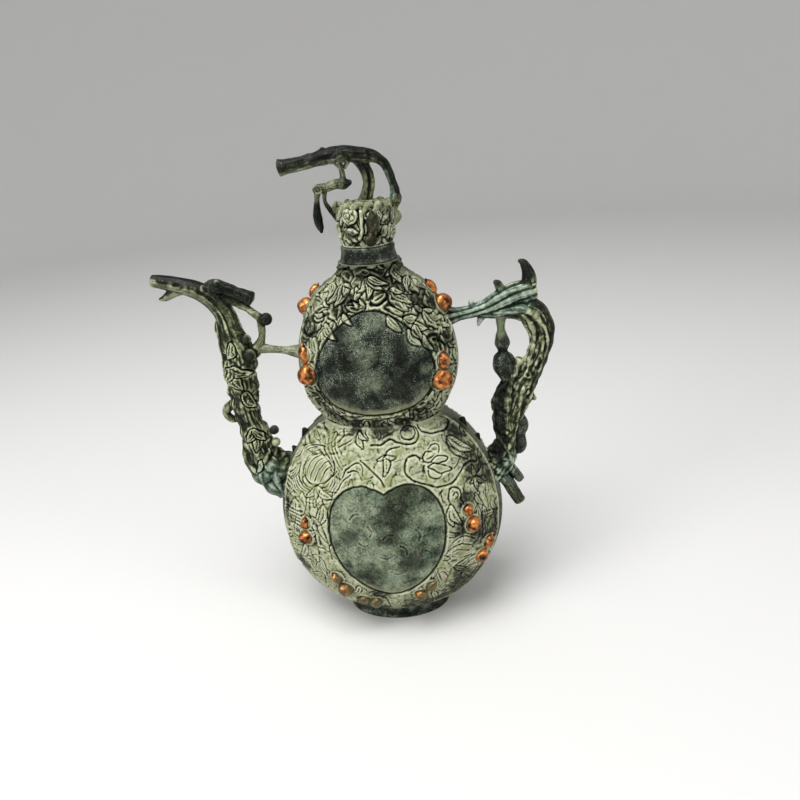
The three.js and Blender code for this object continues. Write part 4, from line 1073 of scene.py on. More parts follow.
def crust_of(points, panel, gap, bulb):
    """A mask of the lower rim of a panel, where the crust lies."""
    low = step_up(-points[:, 2], *CRUST_HEIGHTS[bulb])
    frayed = 1.6 * value_noise(points, 3.0, 93) + 0.8 * value_noise(points, 1.1, 94)
    return 0.8 * panel * low * (1 - step_up(frayed - gap, 1.2, 3.4))


# %% Build the four body pieces
SHELLS = {  # lowest and highest place, spacing of the rings, steps of the half turn and finish
    "lower": (FOOT_TOP, WAIST, 0.45, 330, lower_bronze),
    "upper": (WAIST, NECK["top"], 0.34, 300, upper_bronze),
}
for bulb, (low, high, spacing, steps, finish) in SHELLS.items():
    front = half_shell(f"front_{bulb}_bulb", low, high, spacing, steps)
    points, turn, z, outside = place_shell(front)
    count = len(points)
    height, panel, side = np.zeros(count), np.zeros(count), np.ones(count)
    soot_and_shade, crust, dusty = np.zeros(count), np.zeros(count), np.zeros(count)
    skin = points[outside]
    height[outside], panel[outside], side[outside] = carve(skin, turn[outside], z[outside], bulb)
    gap = panel_distance(skin, panel_lines[bulb])
    soot_and_shade[outside] = soot_and_shade_of(skin, panel[outside], gap, height[outside])
    crust[outside] = crust_of(skin, panel[outside], gap, bulb)
    dusty[outside] = DUST_SHARE[bulb] * panel[outside] * spots(skin, DUST_CLOUDS, 0.7)
    raised = points + np.where(outside, height, 0)[:, None] * body_normal(turn, z)
    set_points(front, raised)
    set_tone(front, near=2.8, broad=0.9)
    for key, values in {"panel": panel, "side": side, "soot_and_shade": soot_and_shade, "crust": crust, "dusty": dusty}.items():
        set_attribute(front, key, values)
    back = front.copy()
    back.name = f"back_{bulb}_bulb"
    set_points(back, raised * [-1, -1, 1])
    finish_piece(front, "vessel", "carved_bronze", finish, "front_shell")
    finish_piece(back, "vessel", "carved_bronze", finish, "back_shell")
    print(bulb, "relief from", round(float(height.min()), 2), "to", round(float(height.max()), 2), "mm")

# %% [markdown]
# ### Fins on the seam
# Where the two halves meet, small dark blades stand out of the shoulder. They are flattened four-sided
# cones with softened edges, sunk a little into the seam.

# %% Seam fins
FINS = [(-1, 102.4, 4), (-1, 93.6, 3), (1, 104, 3.8), (1, 95.4, 3)]  # side, height, size
fins_bm = bmesh.new()
for side, z, size in FINS:
    place, out = body_point(90 * side, z), body_normal(90 * side, z)
    upright = Vector((0, 0, 1)).rotation_difference(Vector(out + [0, 0, 0.9])).to_matrix().to_4x4()
    matrix = Matrix.Translation(Vector(place)) @ upright @ Matrix.Diagonal((1, 0.4, 1, 1))
    wide, thin, tall = 1.2 * size, 0.2 * size, 1.5 * size
    bmesh.ops.create_cone(
        fins_bm, cap_ends=True, segments=4, radius1=wide, radius2=thin, depth=tall, matrix=matrix
    )
soften_edges(fins_bm, fins_bm.edges[:], 0.12)
fins = mesh_from(fins_bm, "seam_fins")
set_points(fins, get_points(fins, 1))
set_attribute(fins, "tone", np.full(len(fins.vertices), 0.4))
finish_piece(fins, "vessel", "branch_bronze", branch_bronze)

# %% [markdown]
# ## Foot, collar and plug
# These are plain turned pieces, so each is an outline spun through a full turn. Real turned edges are never
# sharp, so each outline's corners are cut round before it is spun. The foot is oval, so it is drawn in
# afterwards.


# %% Turned pieces
EDGE_RADIUS = 0.3


def rounded(outline, radius):
    """A closed outline with a small arc of three points at each corner."""
    outline = [Vector(point) for point in outline]
    made = []
    for before, corner, after in zip(outline[-1:] + outline[:-1], outline, outline[1:] + outline[:1]):
        back, on = before - corner, after - corner
        reach = min(radius, 0.4 * back.length, 0.4 * on.length)
        start, end = corner + back.normalized() * reach, corner + on.normalized() * reach
        made += [start, (start + end) / 4 + corner / 2, end]
    return made


def turned_piece(name, outline):
    """A closed ring from an outline of (radius, height) in mm that doesn't touch the axis."""
    return spun_mesh(name, rounded(outline, EDGE_RADIUS), 144)


def weather(mesh, size, amount, seed):
    """The points of a mesh that is still in mm, with slight hammered unevenness along the normals."""
    points = get_points(mesh, 1)
    return points + (amount * value_noise(points, size, seed))[:, None] * get_normals(mesh)


# %% Collar
COLLAR_FOOT = 187.3
RIM = COLLAR_FOOT + 6.6
collar_outline = [
    (9.4, 181), (10.9, 181), (10.9, COLLAR_FOOT), (13.1, COLLAR_FOOT), (12.6, COLLAR_FOOT + 1.6),
    (12.1, RIM - 2.4), (12.3, RIM - 0.9), (12.0, RIM), (9.4, RIM),
]
collar = turned_piece("neck_collar_ring", collar_outline)
set_points(collar, weather(collar, 2.4, 0.3, 21))
set_tone(collar, near=0.5, broad=0.3, middle=0.6)
finish_piece(collar, "vessel", "dark_bronze", smooth_bronze, "neck_collar")

# %% Foot ring
FOOT = {"a": 27.0, "b": 18.5, "wall": 3.4, "top": 5.7, "taper": 1.2}  # a and b: half width and half depth
foot_outline = [
    (FOOT["a"], 0), (FOOT["a"], 1.6), (FOOT["a"] - 0.8, 2.6), (FOOT["a"] - FOOT["taper"], FOOT["top"]),
    (FOOT["a"] - FOOT["wall"], FOOT["top"]), (FOOT["a"] - FOOT["wall"], 0),
]
foot = turned_piece("oval_foot_ring", foot_outline)
foot_points = weather(foot, 5.0, 0.1, 22)
foot_radius = np.hypot(foot_points[:, 0], foot_points[:, 1])
foot_points[:, 1] *= (foot_radius - FOOT["a"] + FOOT["b"]) / foot_radius
foot_points[:, 2] = np.maximum(foot_points[:, 2], 0)
set_points(foot, foot_points)
set_tone(foot, near=0.6, broad=0.4, middle=0.45)
finish_piece(foot, "vessel", "dark_bronze", smooth_bronze, "foot_ring")

# %% Base plate
PLATE_WIDE, PLATE_DEEP, PLATE_THICK = 23.3, 14.8, 2  # half width, half depth and thickness
plate_bm = bmesh.new()
bmesh.ops.create_cone(
    plate_bm, cap_ends=True, segments=96, radius1=PLATE_WIDE, radius2=PLATE_WIDE, depth=PLATE_THICK
)
bmesh.ops.translate(plate_bm, verts=plate_bm.verts[:], vec=(0, 0, PLATE_THICK / 2))
plate_rim = [e for e in plate_bm.edges if len({round(v.co.z, 3) for v in e.verts}) == 1]
soften_edges(plate_bm, plate_rim, EDGE_RADIUS)
for vert in plate_bm.verts:
    reach = math.hypot(vert.co.x, vert.co.y)
    vert.co.y *= (reach - PLATE_WIDE + PLATE_DEEP) / reach
plate = mesh_from(plate_bm, "closing_base_plate")
set_points(plate, get_points(plate, 1))
set_attribute(plate, "tone", np.full(len(plate.vertices), 0.42))
finish_piece(plate, "vessel", "dark_bronze", smooth_bronze, "base_plate")

# %% Lid plug
plug_outline = [(7.4, 186.2), (8.7, 186.2), (9.0, 186.6), (9.0, 198.2), (7.4, 198.2)]
plug = turned_piece("hollow_lid_plug", plug_outline)
set_points(plug, weather(plug, 3.0, 0.04, 23))
set_tone(plug, near=1.5, broad=1.0)
finish_piece(plug, "lid", "dark_bronze", smooth_bronze, "lid_plug")

# %% [markdown]
# ## Gilt gourds
# Nine small gourds stand on each half. Each is a turned form with a round lobe, an oval one and a stalk,
# which then gets shallow dents, because the real ones were cast from hand-shaped wax.

# %% Gourd bosses
GOURD_RINGS, GOURD_STEPS = 46, 40
DULLED_BELOW, BRIGHT_ABOVE, DULLED_FRAY = 26, 40, 22  # heights of the dulled gourds, and how far they vary


def gourd_outline(large, small, spacing):
    """Radius and height along a gourd: two ovals and a stalk that melt into one line."""
    stalk = (spacing + 1.25 * small, 0.2 * small, 0.4 * small)
    ovals = [(0, large, large), (spacing, 0.88 * small, 1.22 * small), stalk]
    low, high = -large, spacing + 1.65 * small
    heights = 0.5 * (low + high) - 0.5 * (high - low) * np.cos(np.linspace(0, math.pi, GOURD_RINGS))
    rounds = [(wide, 1 - ((heights - middle) / tall) ** 2) for middle, wide, tall in ovals]
    radii = sum((wide * np.sqrt(np.maximum(0, share))) ** 4 for wide, share in rounds) ** 0.25
    radii[[0, -1]] = 0
    return list(zip(radii, heights))


for number, (turn_1, z_1, large, turn_2, z_2, small) in enumerate(BOSSES, start=1):
    base = body_point(turn_1, z_1) + FULL_RELIEF * body_normal(turn_1, z_1)
    tip = body_point(turn_2, z_2) + FULL_RELIEF * body_normal(turn_2, z_2)
    spacing = float(np.linalg.norm(tip - base))
    for side_name, flip in (("front", 1), ("back", -1)):
        name = f"gilt_gourd_{side_name}_{number}"
        outline = gourd_outline(large, small, spacing)
        mesh = spun_mesh(f"rubbed_{name}", outline, GOURD_STEPS, closed=False, merge=0.001)
        points = weather(mesh, 2.6, 0.8, 30 + number)
        points += 0.22 * value_noise(points, 1.0, 60 + number)[:, None] * get_normals(mesh)
        turn_to = Vector((0, 0, 1)).rotation_difference(Vector(tip - base)).to_matrix()
        placed = points @ np.array(turn_to).T + base
        set_points(mesh, placed * [flip, flip, 1])
        set_tone(mesh, near=1.6, broad=0.25, near_rounds=3, broad_rounds=8)
        frayed = z_1 + DULLED_FRAY * value_noise(points, 2.2, 90 + number)
        set_attribute(mesh, "dulled", 0.85 * (1 - step_up(frayed, DULLED_BELOW, BRIGHT_ABOVE)))
        finish_piece(mesh, "vessel", "gilt_bronze", gilt_bronze, name)

# %% [markdown]
# ## Branches
# Spout, handle and finial are branches with twisted strands. Each begins as curves whose points carry a
# radius, so that a strand swells and tapers. A voxel remesh then melts all strands of one branch into one
# closed skin, as wax strands melt together before casting, and bark is cut into that skin with numbers.

# %% Strands
DEPTHWISE = np.array([0, 1.0, 0])


def out_from_side(side, stations):
    """[distance out from the lower bulb's side, y, z, radius] made [x, y, z, radius]."""
    return [(side * (LOWER["width"] / 2 + distance), y, z, radius) for distance, y, z, radius in stations]


def branch_path(stations, spacing=0.7):
    """A dense path of x, y, z and radius."""
    path = smooth_line(stations, spacing)
    path[:, 3] = np.maximum(path[:, 3], 0.3)
    return path


def path_frame(path):
    """Directions along a path and across it in the plane that faces the front."""
    along = np.gradient(path[:, :3], axis=0)
    along /= np.maximum(np.linalg.norm(along, axis=1, keepdims=True), 1e-6)
    across = np.cross(along, DEPTHWISE)
    return along, across / np.maximum(np.linalg.norm(across, axis=1, keepdims=True), 1e-6)


def twist_strand(path, turns, phase, offset, thick, deep=1.0, wobble=0.12, seed=1):
    """A strand that winds round a path. Its distance out and its radius are shares of the path's radius."""
    share = np.linspace(0, 1, len(path))
    angle = phase + 2 * math.pi * turns * share
    across = path_frame(path)[1]
    swell = 1 + wobble * np.sin(9 * math.pi * share + 5 * seed) + wobble * np.sin(23 * math.pi * share + seed)
    out = offset * path[:, 3]
    place = path[:, :3] + (out * np.cos(angle))[:, None] * across
    place += (out * np.sin(angle) * deep)[:, None] * DEPTHWISE
    return np.column_stack([place, thick * path[:, 3] * swell])


def rounded_end(path, blunt=False):
    """Adds a small dome to the last point of a strand, or a nearly flat end with a soft edge."""
    along = path_frame(path)[0][-1]
    place, radius = path[-1, :3], path[-1, 3]
    angles = np.radians([25, 55]) if blunt else np.radians([20, 40, 60, 78])
    reach = 0.35 if blunt else 1.0
    caps = [np.append(place + along * radius * reach * math.sin(t), radius * math.cos(t)) for t in angles]
    return np.vstack([path, caps])


def skin_of(name, strands, balls=(), voxel=0.42):
    """One closed mesh round strands and balls."""
    curve = bpy.data.curves.new(name, "CURVE")
    curve.dimensions = "3D"
    curve.bevel_depth = MM
    curve.bevel_resolution = 4
    curve.use_fill_caps = True
    for path in strands:
        spline = curve.splines.new("POLY")
        spline.points.add(len(path) - 1)
        spline.points.foreach_set("co", np.column_stack([path[:, :3] * MM, np.ones(len(path))]).ravel())
        spline.points.foreach_set("radius", path[:, 3])
    sticks = bpy.data.objects.new(name, curve)
    bpy.context.scene.collection.objects.link(sticks)
    bm = bmesh.new()
    bm.from_mesh(sticks.to_mesh())
    for x, y, z, radius in balls:
        turned = Matrix.Translation(Vector((x, y, z)) * MM)
        bmesh.ops.create_icosphere(bm, subdivisions=3, radius=radius * MM, matrix=turned)
    mesh = mesh_from(bm, name)
    bpy.data.objects.remove(sticks)
    bpy.data.curves.remove(curve)
    rough = new_piece(name, mesh)
    remesh = rough.modifiers.new("one_skin", "REMESH")
    remesh.mode = "VOXEL"
    remesh.voxel_size = voxel * MM
    depsgraph = bpy.context.evaluated_depsgraph_get()
    skin = bpy.data.meshes.new_from_object(rough.evaluated_get(depsgraph))
    bpy.data.objects.remove(rough)
    bpy.data.meshes.remove(mesh)
    skin.name = name
    return skin


# %% [markdown]
# ### Bark
# Bark is streaks that run along a branch, and knots. Streaks need to know which way the branch runs, so
# each point of the skin first finds its nearest place on the branch's middle line.


# %% Bark
STREAK_LENGTH, STREAK_SHARPNESS = 9.0, 4.5 / 1.6


def nearest_on(points, path):
    """Index of the nearest place on a path, for each point."""
    best = np.empty(len(points), dtype=int)
    for chosen in np.array_split(np.arange(len(points)), max(1, len(points) // 4000)):
        gap = ((points[chosen][:, None, :] - path[None, :, :3]) ** 2).sum(-1)
        best[chosen] = gap.argmin(1)
    return best


def streaks(points, path, seed):
    """Noise drawn out along a branch."""
    index = nearest_on(points, path)
    centre = path[index, :3]
    along = np.concatenate([[0], np.cumsum(np.linalg.norm(np.diff(path[:, :3], axis=0), axis=1))])[index]
    across = path_frame(path)[1][index]
    offset = points - centre
    radius = np.maximum(path[index, 3], 1)
    flat = (offset * across).sum(1) / radius
    deep = offset @ DEPTHWISE / radius
    size = np.maximum(np.hypot(flat, deep), 0.2)
    round_branch = np.column_stack([flat / size, deep / size]) * STREAK_SHARPNESS
    return value_noise(np.column_stack([along / STREAK_LENGTH, round_branch]), 1.0, seed)


def cut_bark(skin, path, streak, knots, seed, grain=0.15):
    points, normals = get_points(skin), get_normals(skin)
    ridged = np.abs(streaks(points, path, seed=seed)) * 2
    height = streak * (0.5 - np.abs(1 - 2.2 * ridged)) + knots * value_noise(points, 3.2, seed + 1)
    height += grain * value_noise(points, 1.1, seed + 2)
    return points, normals, height


def across_share(points, path):
    """How far each point lies to one side of its branch's middle line, in the branch's radii."""
    index = nearest_on(points, path)
    offset = points - path[index, :3]
    return (offset * path_frame(path)[1][index]).sum(1) / np.maximum(path[index, 3], 1)


def cords_on(path, winds, thick, offset, deep):
    """Thin cords that wind over a branch's surface, each with its own turns and start."""
    return [twist_strand(path, turns, phase, offset, thick, deep, wobble=0.2, seed=number)
            for number, (turns, phase) in enumerate(winds)]


def facing_leaves(height, points, normals, leaves, side=-1, **look):
    """Leaves pressed on a branch from one (x, z) to another, on the front (-1) or on the back (1)."""
    facing = normals[:, 1] * side > 0.05
    chosen = bent_by_hand(points[facing] * [1, 0, 1], 2.5, 0.8, 48)
    lifted = height[facing]
    for (x_1, z_1), (x_2, z_2), broad in leaves:
        start, end = np.array([x_1, 0, z_1]), np.array([x_2, 0, z_2])
        punch_leaf(lifted, chosen, start, end, np.array([0, side, 0.0]), broad=broad, **look)
    height[facing] = lifted


def finish_branch(skin, relief, finish, masks=None, **tone):
    """Cuts a relief into a skin and makes it a piece. The finish says body, slot (not used), material and
    solid.
    """
    points, normals, height = relief
    set_points(skin, points + height[:, None] * normals)
    set_tone(skin, **tone)
    for key, values in (masks or {}).items():
        set_attribute(skin, key, values)
    finish_piece(skin, *finish)


def patch(points, places, soft):
    """A mask of blobs, each (x, z, radius), for stained places on a branch."""
    mask = np.zeros(len(points))
    for x, z, radius in places:
        gap = np.hypot(points[:, 0] - x, points[:, 2] - z)
        mask = np.maximum(mask, 1 - step_up(gap, radius - soft, radius + soft))
    return mask


def side_root(side, height, sink, lean, rise, sink_radius, lean_radius):
    """The two stations where a branch leaves the body's side."""
    half = float(body_halves(height)[0])
    inside = (side * (half - sink), 0, height, sink_radius)
    return [inside, (side * (half + lean), 0, height + rise, lean_radius)]


# %% [markdown]
# ## Spout
# The spout is one thick branch that rises from the left side, bends over and ends in two lips. A cut stub,
# a loop with a knob, a thorn and a curl grow from it. Its trunk has broad flat strands with thin cords
# between them and carved leaves in front and behind. Its upper arm is nearly smooth, so the strands end
# where the arm begins.

# %% Spout stations
SPOUT_TRUNK = side_root(-1, 77, 4, 1.5, 3, 12.4, 11.8) + out_from_side(-1, [
    (6, 0, 88, 9.6), (8.4, 0, 98, 7.6), (10.2, 0, 110, 6.7), (11.2, 0, 122, 6.8), (10.8, 0, 134, 7.8),
    (10.2, 0, 146, 7.9), (12, 0, 158, 5.6), (13.8, 0, 166.5, 4.9), (18, 0, 173, 4.7), (24.5, 0, 178, 4.4),
    (33, 0, 181, 3.9), (40.5, 0, 183, 3.4), (45.2, 0, 183.9, 2.9),
])
SPOUT_FLAT = 0.86  # depth of the strands' windings as a share of their width
SPOUT_LOWER_LIP = out_from_side(-1, [
    (28, 0, 180, 2.6), (35, 0, 178.2, 2.6), (40, 0, 175.6, 1.8), (42.6, 0, 174.9, 1),
])
SPOUT_CUT_STUB = out_from_side(-1, [
    (21, 0, 177.5, 2.6), (16.5, 0, 179.2, 3.7), (11, 0, 177.4, 3.4), (6, 0, 175.4, 3.1),
    (-0.4, 0, 172.6, 3.4),
])
SPOUT_BALLS = out_from_side(-1, [
    (-5.8, 0, 162.2, 2.9), (3.4, -4.6, 146.4, 3), (4.6, -2.6, 153.8, 2.4), (21, -2.4, 179, 2),
    (-1.6, -2, 105.6, 2.4), (-1.2, -1, 98.5, 2.2), (2, -3, 90, 2.6), (14.5, -1.5, 180.6, 2.2),
])
SPOUT_TWIGS = [out_from_side(-1, twig) for twig in (
    [(13, 0, 172.5, 2.4), (8, 0, 171.5, 2), (4, 0, 169, 1.9), (0.2, 0, 166, 1.9), (-3, 0, 163, 1.9),
     (-6.4, 0, 162.2, 2.4)],
    [(-2.8, 0, 163, 1.7), (-2.9, 0, 156, 1.7), (-1.4, 0, 151, 2.3), (2, 0, 147, 3.4), (8, 0, 143, 3.6)],
    [(14, 0, 164, 2.4), (16.5, 0, 161, 2.6), (18.6, 0, 158, 1.2)],
    [(14, 0, 121, 2.2), (18.8, 0, 119.4, 2.3), (21.4, 0, 115.4, 2.2), (19, 0, 112, 2.2), (15, 0, 112.6, 2)],
    [(15, -1, 168, 1.4), (16.4, -2, 160, 1.6), (16.8, -2, 150, 1.5), (15.6, -2, 140, 1.2)],
)]
SPOUT_LEAVES = [  # base and tip as (x, z) from the front, and breadth
    ((-70.6, 140.8), (-66.4, 129.4), 0.34), ((-70.6, 140.8), (-60.8, 137.6), 0.34),
    ((-70.6, 140.8), (-75, 134.4), 0.36), ((-64.6, 108), (-64.8, 96), 0.3),
    ((-64.6, 108), (-69.2, 101.2), 0.32), ((-64.6, 108), (-59.4, 101.6), 0.32),
    ((-66, 128), (-62, 119), 0.26), ((-68, 153.5), (-70.6, 145), 0.28), ((-63, 92), (-66, 85), 0.26),
]
SPOUT_LEAF = {"top": 1.0, "moat": 0.9, "vein": 0.16, "ribbed": 0.55}

# %% Spout skin
ARM_FROM = 0.62  # share of the branch's length where its strands end
SPOUT_CORDS = [(1.3, 3.6), (-1.1, 5.2), (0.8, 1.4), (-1.6, 0.4)]  # turns and start of each
SPOUT_PLACES = {  # stained places as (x, z, radius), and how soft their edges are
    "stub": ([(-74.5, 180.5, 3.6), (-70, 178.4, 4.4), (-66, 177, 4.4), (-61, 174.5, 5),
              (-57, 172.6, 4.5)], 1.2),
    "root": ([(-60, 82, 8), (-55, 75, 9)], 4),
    "balls": ([(-51.4, 162.2, 3.6), (-60.4, 146.4, 2.8), (-61.6, 153.8, 2.2), (-55.4, 105.6, 2.6)], 0.8),
}
spout_path = branch_path(SPOUT_TRUNK)
arm_start = int(ARM_FROM * len(spout_path))
trunk_path = spout_path[:arm_start]
spout_strands = [twist_strand(spout_path, 0, 0, 0, 0.8), spout_path[arm_start - 6 :]]
for count, phase in enumerate(np.radians([0, 110, 200, 290])):
    strand = twist_strand(trunk_path, 0.7, phase, 0.46, 0.56, SPOUT_FLAT, wobble=0.08, seed=count)
    spout_strands.append(rounded_end(strand))
spout_strands += cords_on(trunk_path, SPOUT_CORDS, 0.15, 0.92, SPOUT_FLAT)
for stations in [SPOUT_LOWER_LIP, *SPOUT_TWIGS]:
    spout_strands.append(rounded_end(branch_path(stations)))
spout_strands.append(rounded_end(branch_path(SPOUT_CUT_STUB), blunt=True))
spout_skin = skin_of("forked_branch_spout", spout_strands, SPOUT_BALLS, voxel=0.38)
points, normals, height = cut_bark(spout_skin, spout_path, streak=0.42, knots=0.4, seed=41)
on_arm = step_up(-points[:, 0], 69, 74) * step_up(points[:, 2], 164, 170)
on_stub, at_root, balls = (patch(points, *place) for place in SPOUT_PLACES.values())
height *= 1 - 0.85 * on_arm * (1 - on_stub) - 0.8 * at_root
height += 0.5 * on_stub * value_noise(points, 2.4, 47)
facing_leaves(height, points, normals, SPOUT_LEAVES, **SPOUT_LEAF)
facing_leaves(height, points, normals, SPOUT_LEAVES, side=1, **SPOUT_LEAF)
frayed = normals[:, 2] + 0.9 * value_noise(points, 2.5, 46) + 0.5 * value_noise(points, 1.0, 49)
arm_top = step_up(frayed, -0.1, 0.4)
masks = {
    "bare": np.maximum(np.maximum(on_stub, balls), on_arm * arm_top * (1 - on_stub)),
    "dusted": 0.9 * on_arm * (1 - arm_top) * (1 - on_stub),
    "teal": 0.9 * at_root,
}
finish = ("vessel", "branch_bronze", branch_bronze, "spout")
finish_branch(spout_skin, (points, normals, height), finish, masks, near=2.6)

# %% Brace
BRACE_HIGH, BRACE_LOW = 148.4, 145.2  # heights at the spout and at the upper bulb
BRACE_RADII = [(0, 3), (0.35, 1.9), (0.65, 1.9), (1, 3.6)]  # share of the length, then radius
brace_start = -(LOWER["width"] / 2 + 1.4)
brace_end = -(float(body_halves(BRACE_LOW)[0]) - 1.2)
brace_shares, brace_radii = np.transpose(BRACE_RADII)
brace_x = brace_start + brace_shares * (brace_end - brace_start)
brace_z = BRACE_HIGH + brace_shares * (BRACE_LOW - BRACE_HIGH)
brace_path = branch_path(np.stack([brace_x, 0 * brace_x, brace_z, brace_radii], axis=1))
brace_skin = skin_of("thin_spout_brace", [brace_path], voxel=0.3)
relief = cut_bark(brace_skin, brace_path, streak=0.25, knots=0.2, grain=0.1, seed=43)
finish_branch(brace_skin, relief, ("vessel", "pale_bronze", pale_bronze, "spout_brace"))

# %% [markdown]
# ## Handle
# The handle is a bar that leaves the upper bulb, a bow that turns down from it and a trunk that joins the
# lower bulb. It has a horn, thorns and two cut stubs. The bar has parallel ridges. The bow is scaly inside
# and smooth outside, and the trunk is smooth on its left; the distance from the middle line tells the sides
# apart.

# %% Handle stations
HANDLE_ROOT_HEIGHT = 78
HANDLE_FLAT = 0.9  # depth of the strands' windings as a share of their width
HANDLE_BAR = side_root(1, 158.2, 2, 3, 0.4, 5.4, 3.6) + out_from_side(1, [
    (-13, 0, 159.5, 3.1), (-5, 0, 161.4, 4), (1, 0, 163.8, 5), (7, 0, 166.2, 5.4), (12, 0, 167.4, 5.4),
    (16.6, 0, 168.2, 4.6),
])
HANDLE_BOW = out_from_side(1, [
    (-8, 0, 159, 2.2), (-1, 0, 158.8, 3.4), (5, 0, 159.8, 4.8), (11, 0, 160, 6), (16, 0, 157.6, 6.3),
    (19.4, 0, 151.6, 6), (20.4, 0, 145, 5.5), (19, 0, 139, 5.3), (16.4, 0, 132.5, 5.3), (13.2, 0, 126, 5.9),
    (10, 0, 119.5, 6.6), (7.2, 0, 112.5, 6.2), (5, 0, 105, 5),
])
HANDLE_TRUNK = out_from_side(1, [
    (6, 0, 127, 2.8), (4.4, 0, 122, 4.6), (3, 0, 116, 6), (2.6, 0, 108, 6.2), (3, 0, 99, 6), (2.4, 0, 91, 6),
]) + side_root(1, HANDLE_ROOT_HEIGHT, 4, 2.6, 5.4, 8.5, 7.4)[::-1]
HANDLE_TWIGS = [out_from_side(1, twig) for twig in (
    [(11.6, 0, 168, 4.2), (14.4, 0, 171, 3.6), (14.6, 0, 174.6, 3.1), (13.8, 0, 178, 2.5),
     (12.2, 0, 180.8, 1.8), (10.8, 0, 181.6, 1)],
    [(3.8, 0, 166, 2.8), (1.8, 0, 169.6, 2.2), (0.6, 0, 171.8, 1.7), (-0.2, 0, 172.6, 1)],
    [(-10, 0, 160.5, 2), (-11.6, 0, 163.2, 1.5), (-12, 0, 165, 0.7)],
    [(-6, 0, 158.6, 2), (-8, 0, 155.4, 1.5), (-8.8, 0, 153, 0.7)],
    [(12, 0, 120, 3), (14.6, 0, 117, 2.2), (16.8, 0, 114.6, 1)],
    [(10.6, 0, 135, 2.4), (8.4, 0, 130, 3), (6, 0, 125, 3.4)],
    [(-7, 0, 162, 1.6), (-6, 0, 164.6, 1.2), (-5.6, 0, 166, 0.6)],
    [(2, 0, 158.6, 1.6), (3, 0, 155.8, 1.1), (3.2, 0, 154.6, 0.6)],
)]
HANDLE_STUBS = [out_from_side(1, [(x, y, HANDLE_ROOT_HEIGHT + z, r) for x, y, z, r in stub]) for stub in (
    [(-3.3, 0, 8, 2.4), (4.4, 0, 0, 2.3), (8.2, 0, -5.4, 2.3), (10, 0, -8, 2)],
    [(-4.5, 0, 2, 3.6), (2.6, 0, -8, 3.3), (6, 0, -14.6, 3.2), (9.2, 0, -20.2, 3.2)],
)]

# %% Handle skin
BAR_RIDGES = [-125, -78, -30, 20, 100, 180]  # degrees round the bar
TRUNK_STRANDS = [(0, 0.56), (180, 0.5), (-90, 0.5), (90, 0.5)]  # start in degrees, then thickness
BOW_CORDS = [(0.3, 4.2), (-0.4, 5.0), (0.5, 2.2)]  # turns and start of each
TRUNK_CORDS = [(0.7, 5.4), (-0.9, 4.6), (1.2, 5.8), (-0.6, 1.2)]
handle_paths = [branch_path(stations) for stations in (HANDLE_BAR, HANDLE_BOW, HANDLE_TRUNK)]
bar_path, bow_path, trunk_path = handle_paths
handle_strands = [twist_strand(path, 0, 0, 0, 0.78) for path in handle_paths]
for count, phase in enumerate(np.radians(BAR_RIDGES)):
    strand = twist_strand(bar_path, 0.1, phase, 0.66, 0.36, wobble=0.04, seed=count)
    handle_strands.append(rounded_end(strand))
for path, turns in ((bow_path, 0.0), (trunk_path, 0.15)):
    for seed, (start, thick) in enumerate(TRUNK_STRANDS, start=3):
        strand = twist_strand(path, turns, math.radians(start), 0.5, thick, HANDLE_FLAT, 0.06, seed)
        handle_strands.append(rounded_end(strand))
handle_strands += cords_on(bow_path, BOW_CORDS, 0.17, 0.92, HANDLE_FLAT)
handle_strands += cords_on(trunk_path, TRUNK_CORDS, 0.17, 0.94, HANDLE_FLAT)
handle_strands += [rounded_end(branch_path(twig)) for twig in HANDLE_TWIGS]
handle_strands += [rounded_end(branch_path(stub), blunt=True) for stub in HANDLE_STUBS]
handle_skin = skin_of("knotted_branch_handle", handle_strands, voxel=0.4)
handle_line = np.vstack([bar_path, bow_path[12:], trunk_path])
points, normals, height = cut_bark(handle_skin, handle_line, streak=0.4, knots=0.45, seed=51)

# %% Handle marks and finish
HANDLE_PLACES = {  # places as (x, z, radius), and how soft their edges are
    "bar": ([(44, 158, 8), (52, 160, 9), (61, 164, 7), (68, 166, 6)], 3),
    "bow": ([(74, 158, 6), (77, 148, 8), (75, 138, 8), (70, 128, 8)], 2),
    "trunk": ([(60, 120, 7), (60, 110, 8), (59, 100, 8), (58, 90, 7)], 2),
    "horn": ([(70.5, 177, 4.5), (68.6, 181, 3.4), (57.6, 173, 2.4)], 1.5),
    "root": ([(62, 78, 9)], 4),
    "stubs": ([(66, 71, 5), (66, 60, 6)], 2.5),
}
places = [patch(points, *place) for place in HANDLE_PLACES.values()]
on_bar, on_bow, on_trunk, horn, at_root, on_stubs = places
outer = across_share(points, bow_path) + 0.3 * value_noise(points, 3.0, 56)
leftward = -across_share(points, trunk_path) + 0.3 * value_noise(points, 3.0, 57)
height *= 1 - 0.65 * on_bar - 0.4 * on_trunk * (1 - on_bar)
scales = np.abs(value_noise(bent_by_hand(points, 2.5, 1.4, 59), 2.8, 58)) * 2
height += 0.8 * on_bow * (0.5 - scales) * (1 - step_up(outer, 0.3, 0.6))
smooth_edge = np.maximum(on_bow * step_up(outer, 0.45, 0.75), on_trunk * step_up(leftward, -0.15, 0.2))
height *= 1 - 0.85 * smooth_edge
masks = {
    "teal": np.maximum(0.9 * on_bar * (1 - horn), 0.7 * at_root),
    "dusted": 0.8 * (on_bow * (1 - step_up(outer, -0.7, -0.35))),
    "bare": np.maximum(np.maximum(smooth_edge, horn), 0.7 * on_stubs),
}
finish = ("vessel", "branch_bronze", branch_bronze, "handle")
finish_branch(handle_skin, (points, normals, height), finish, masks, near=2.6)

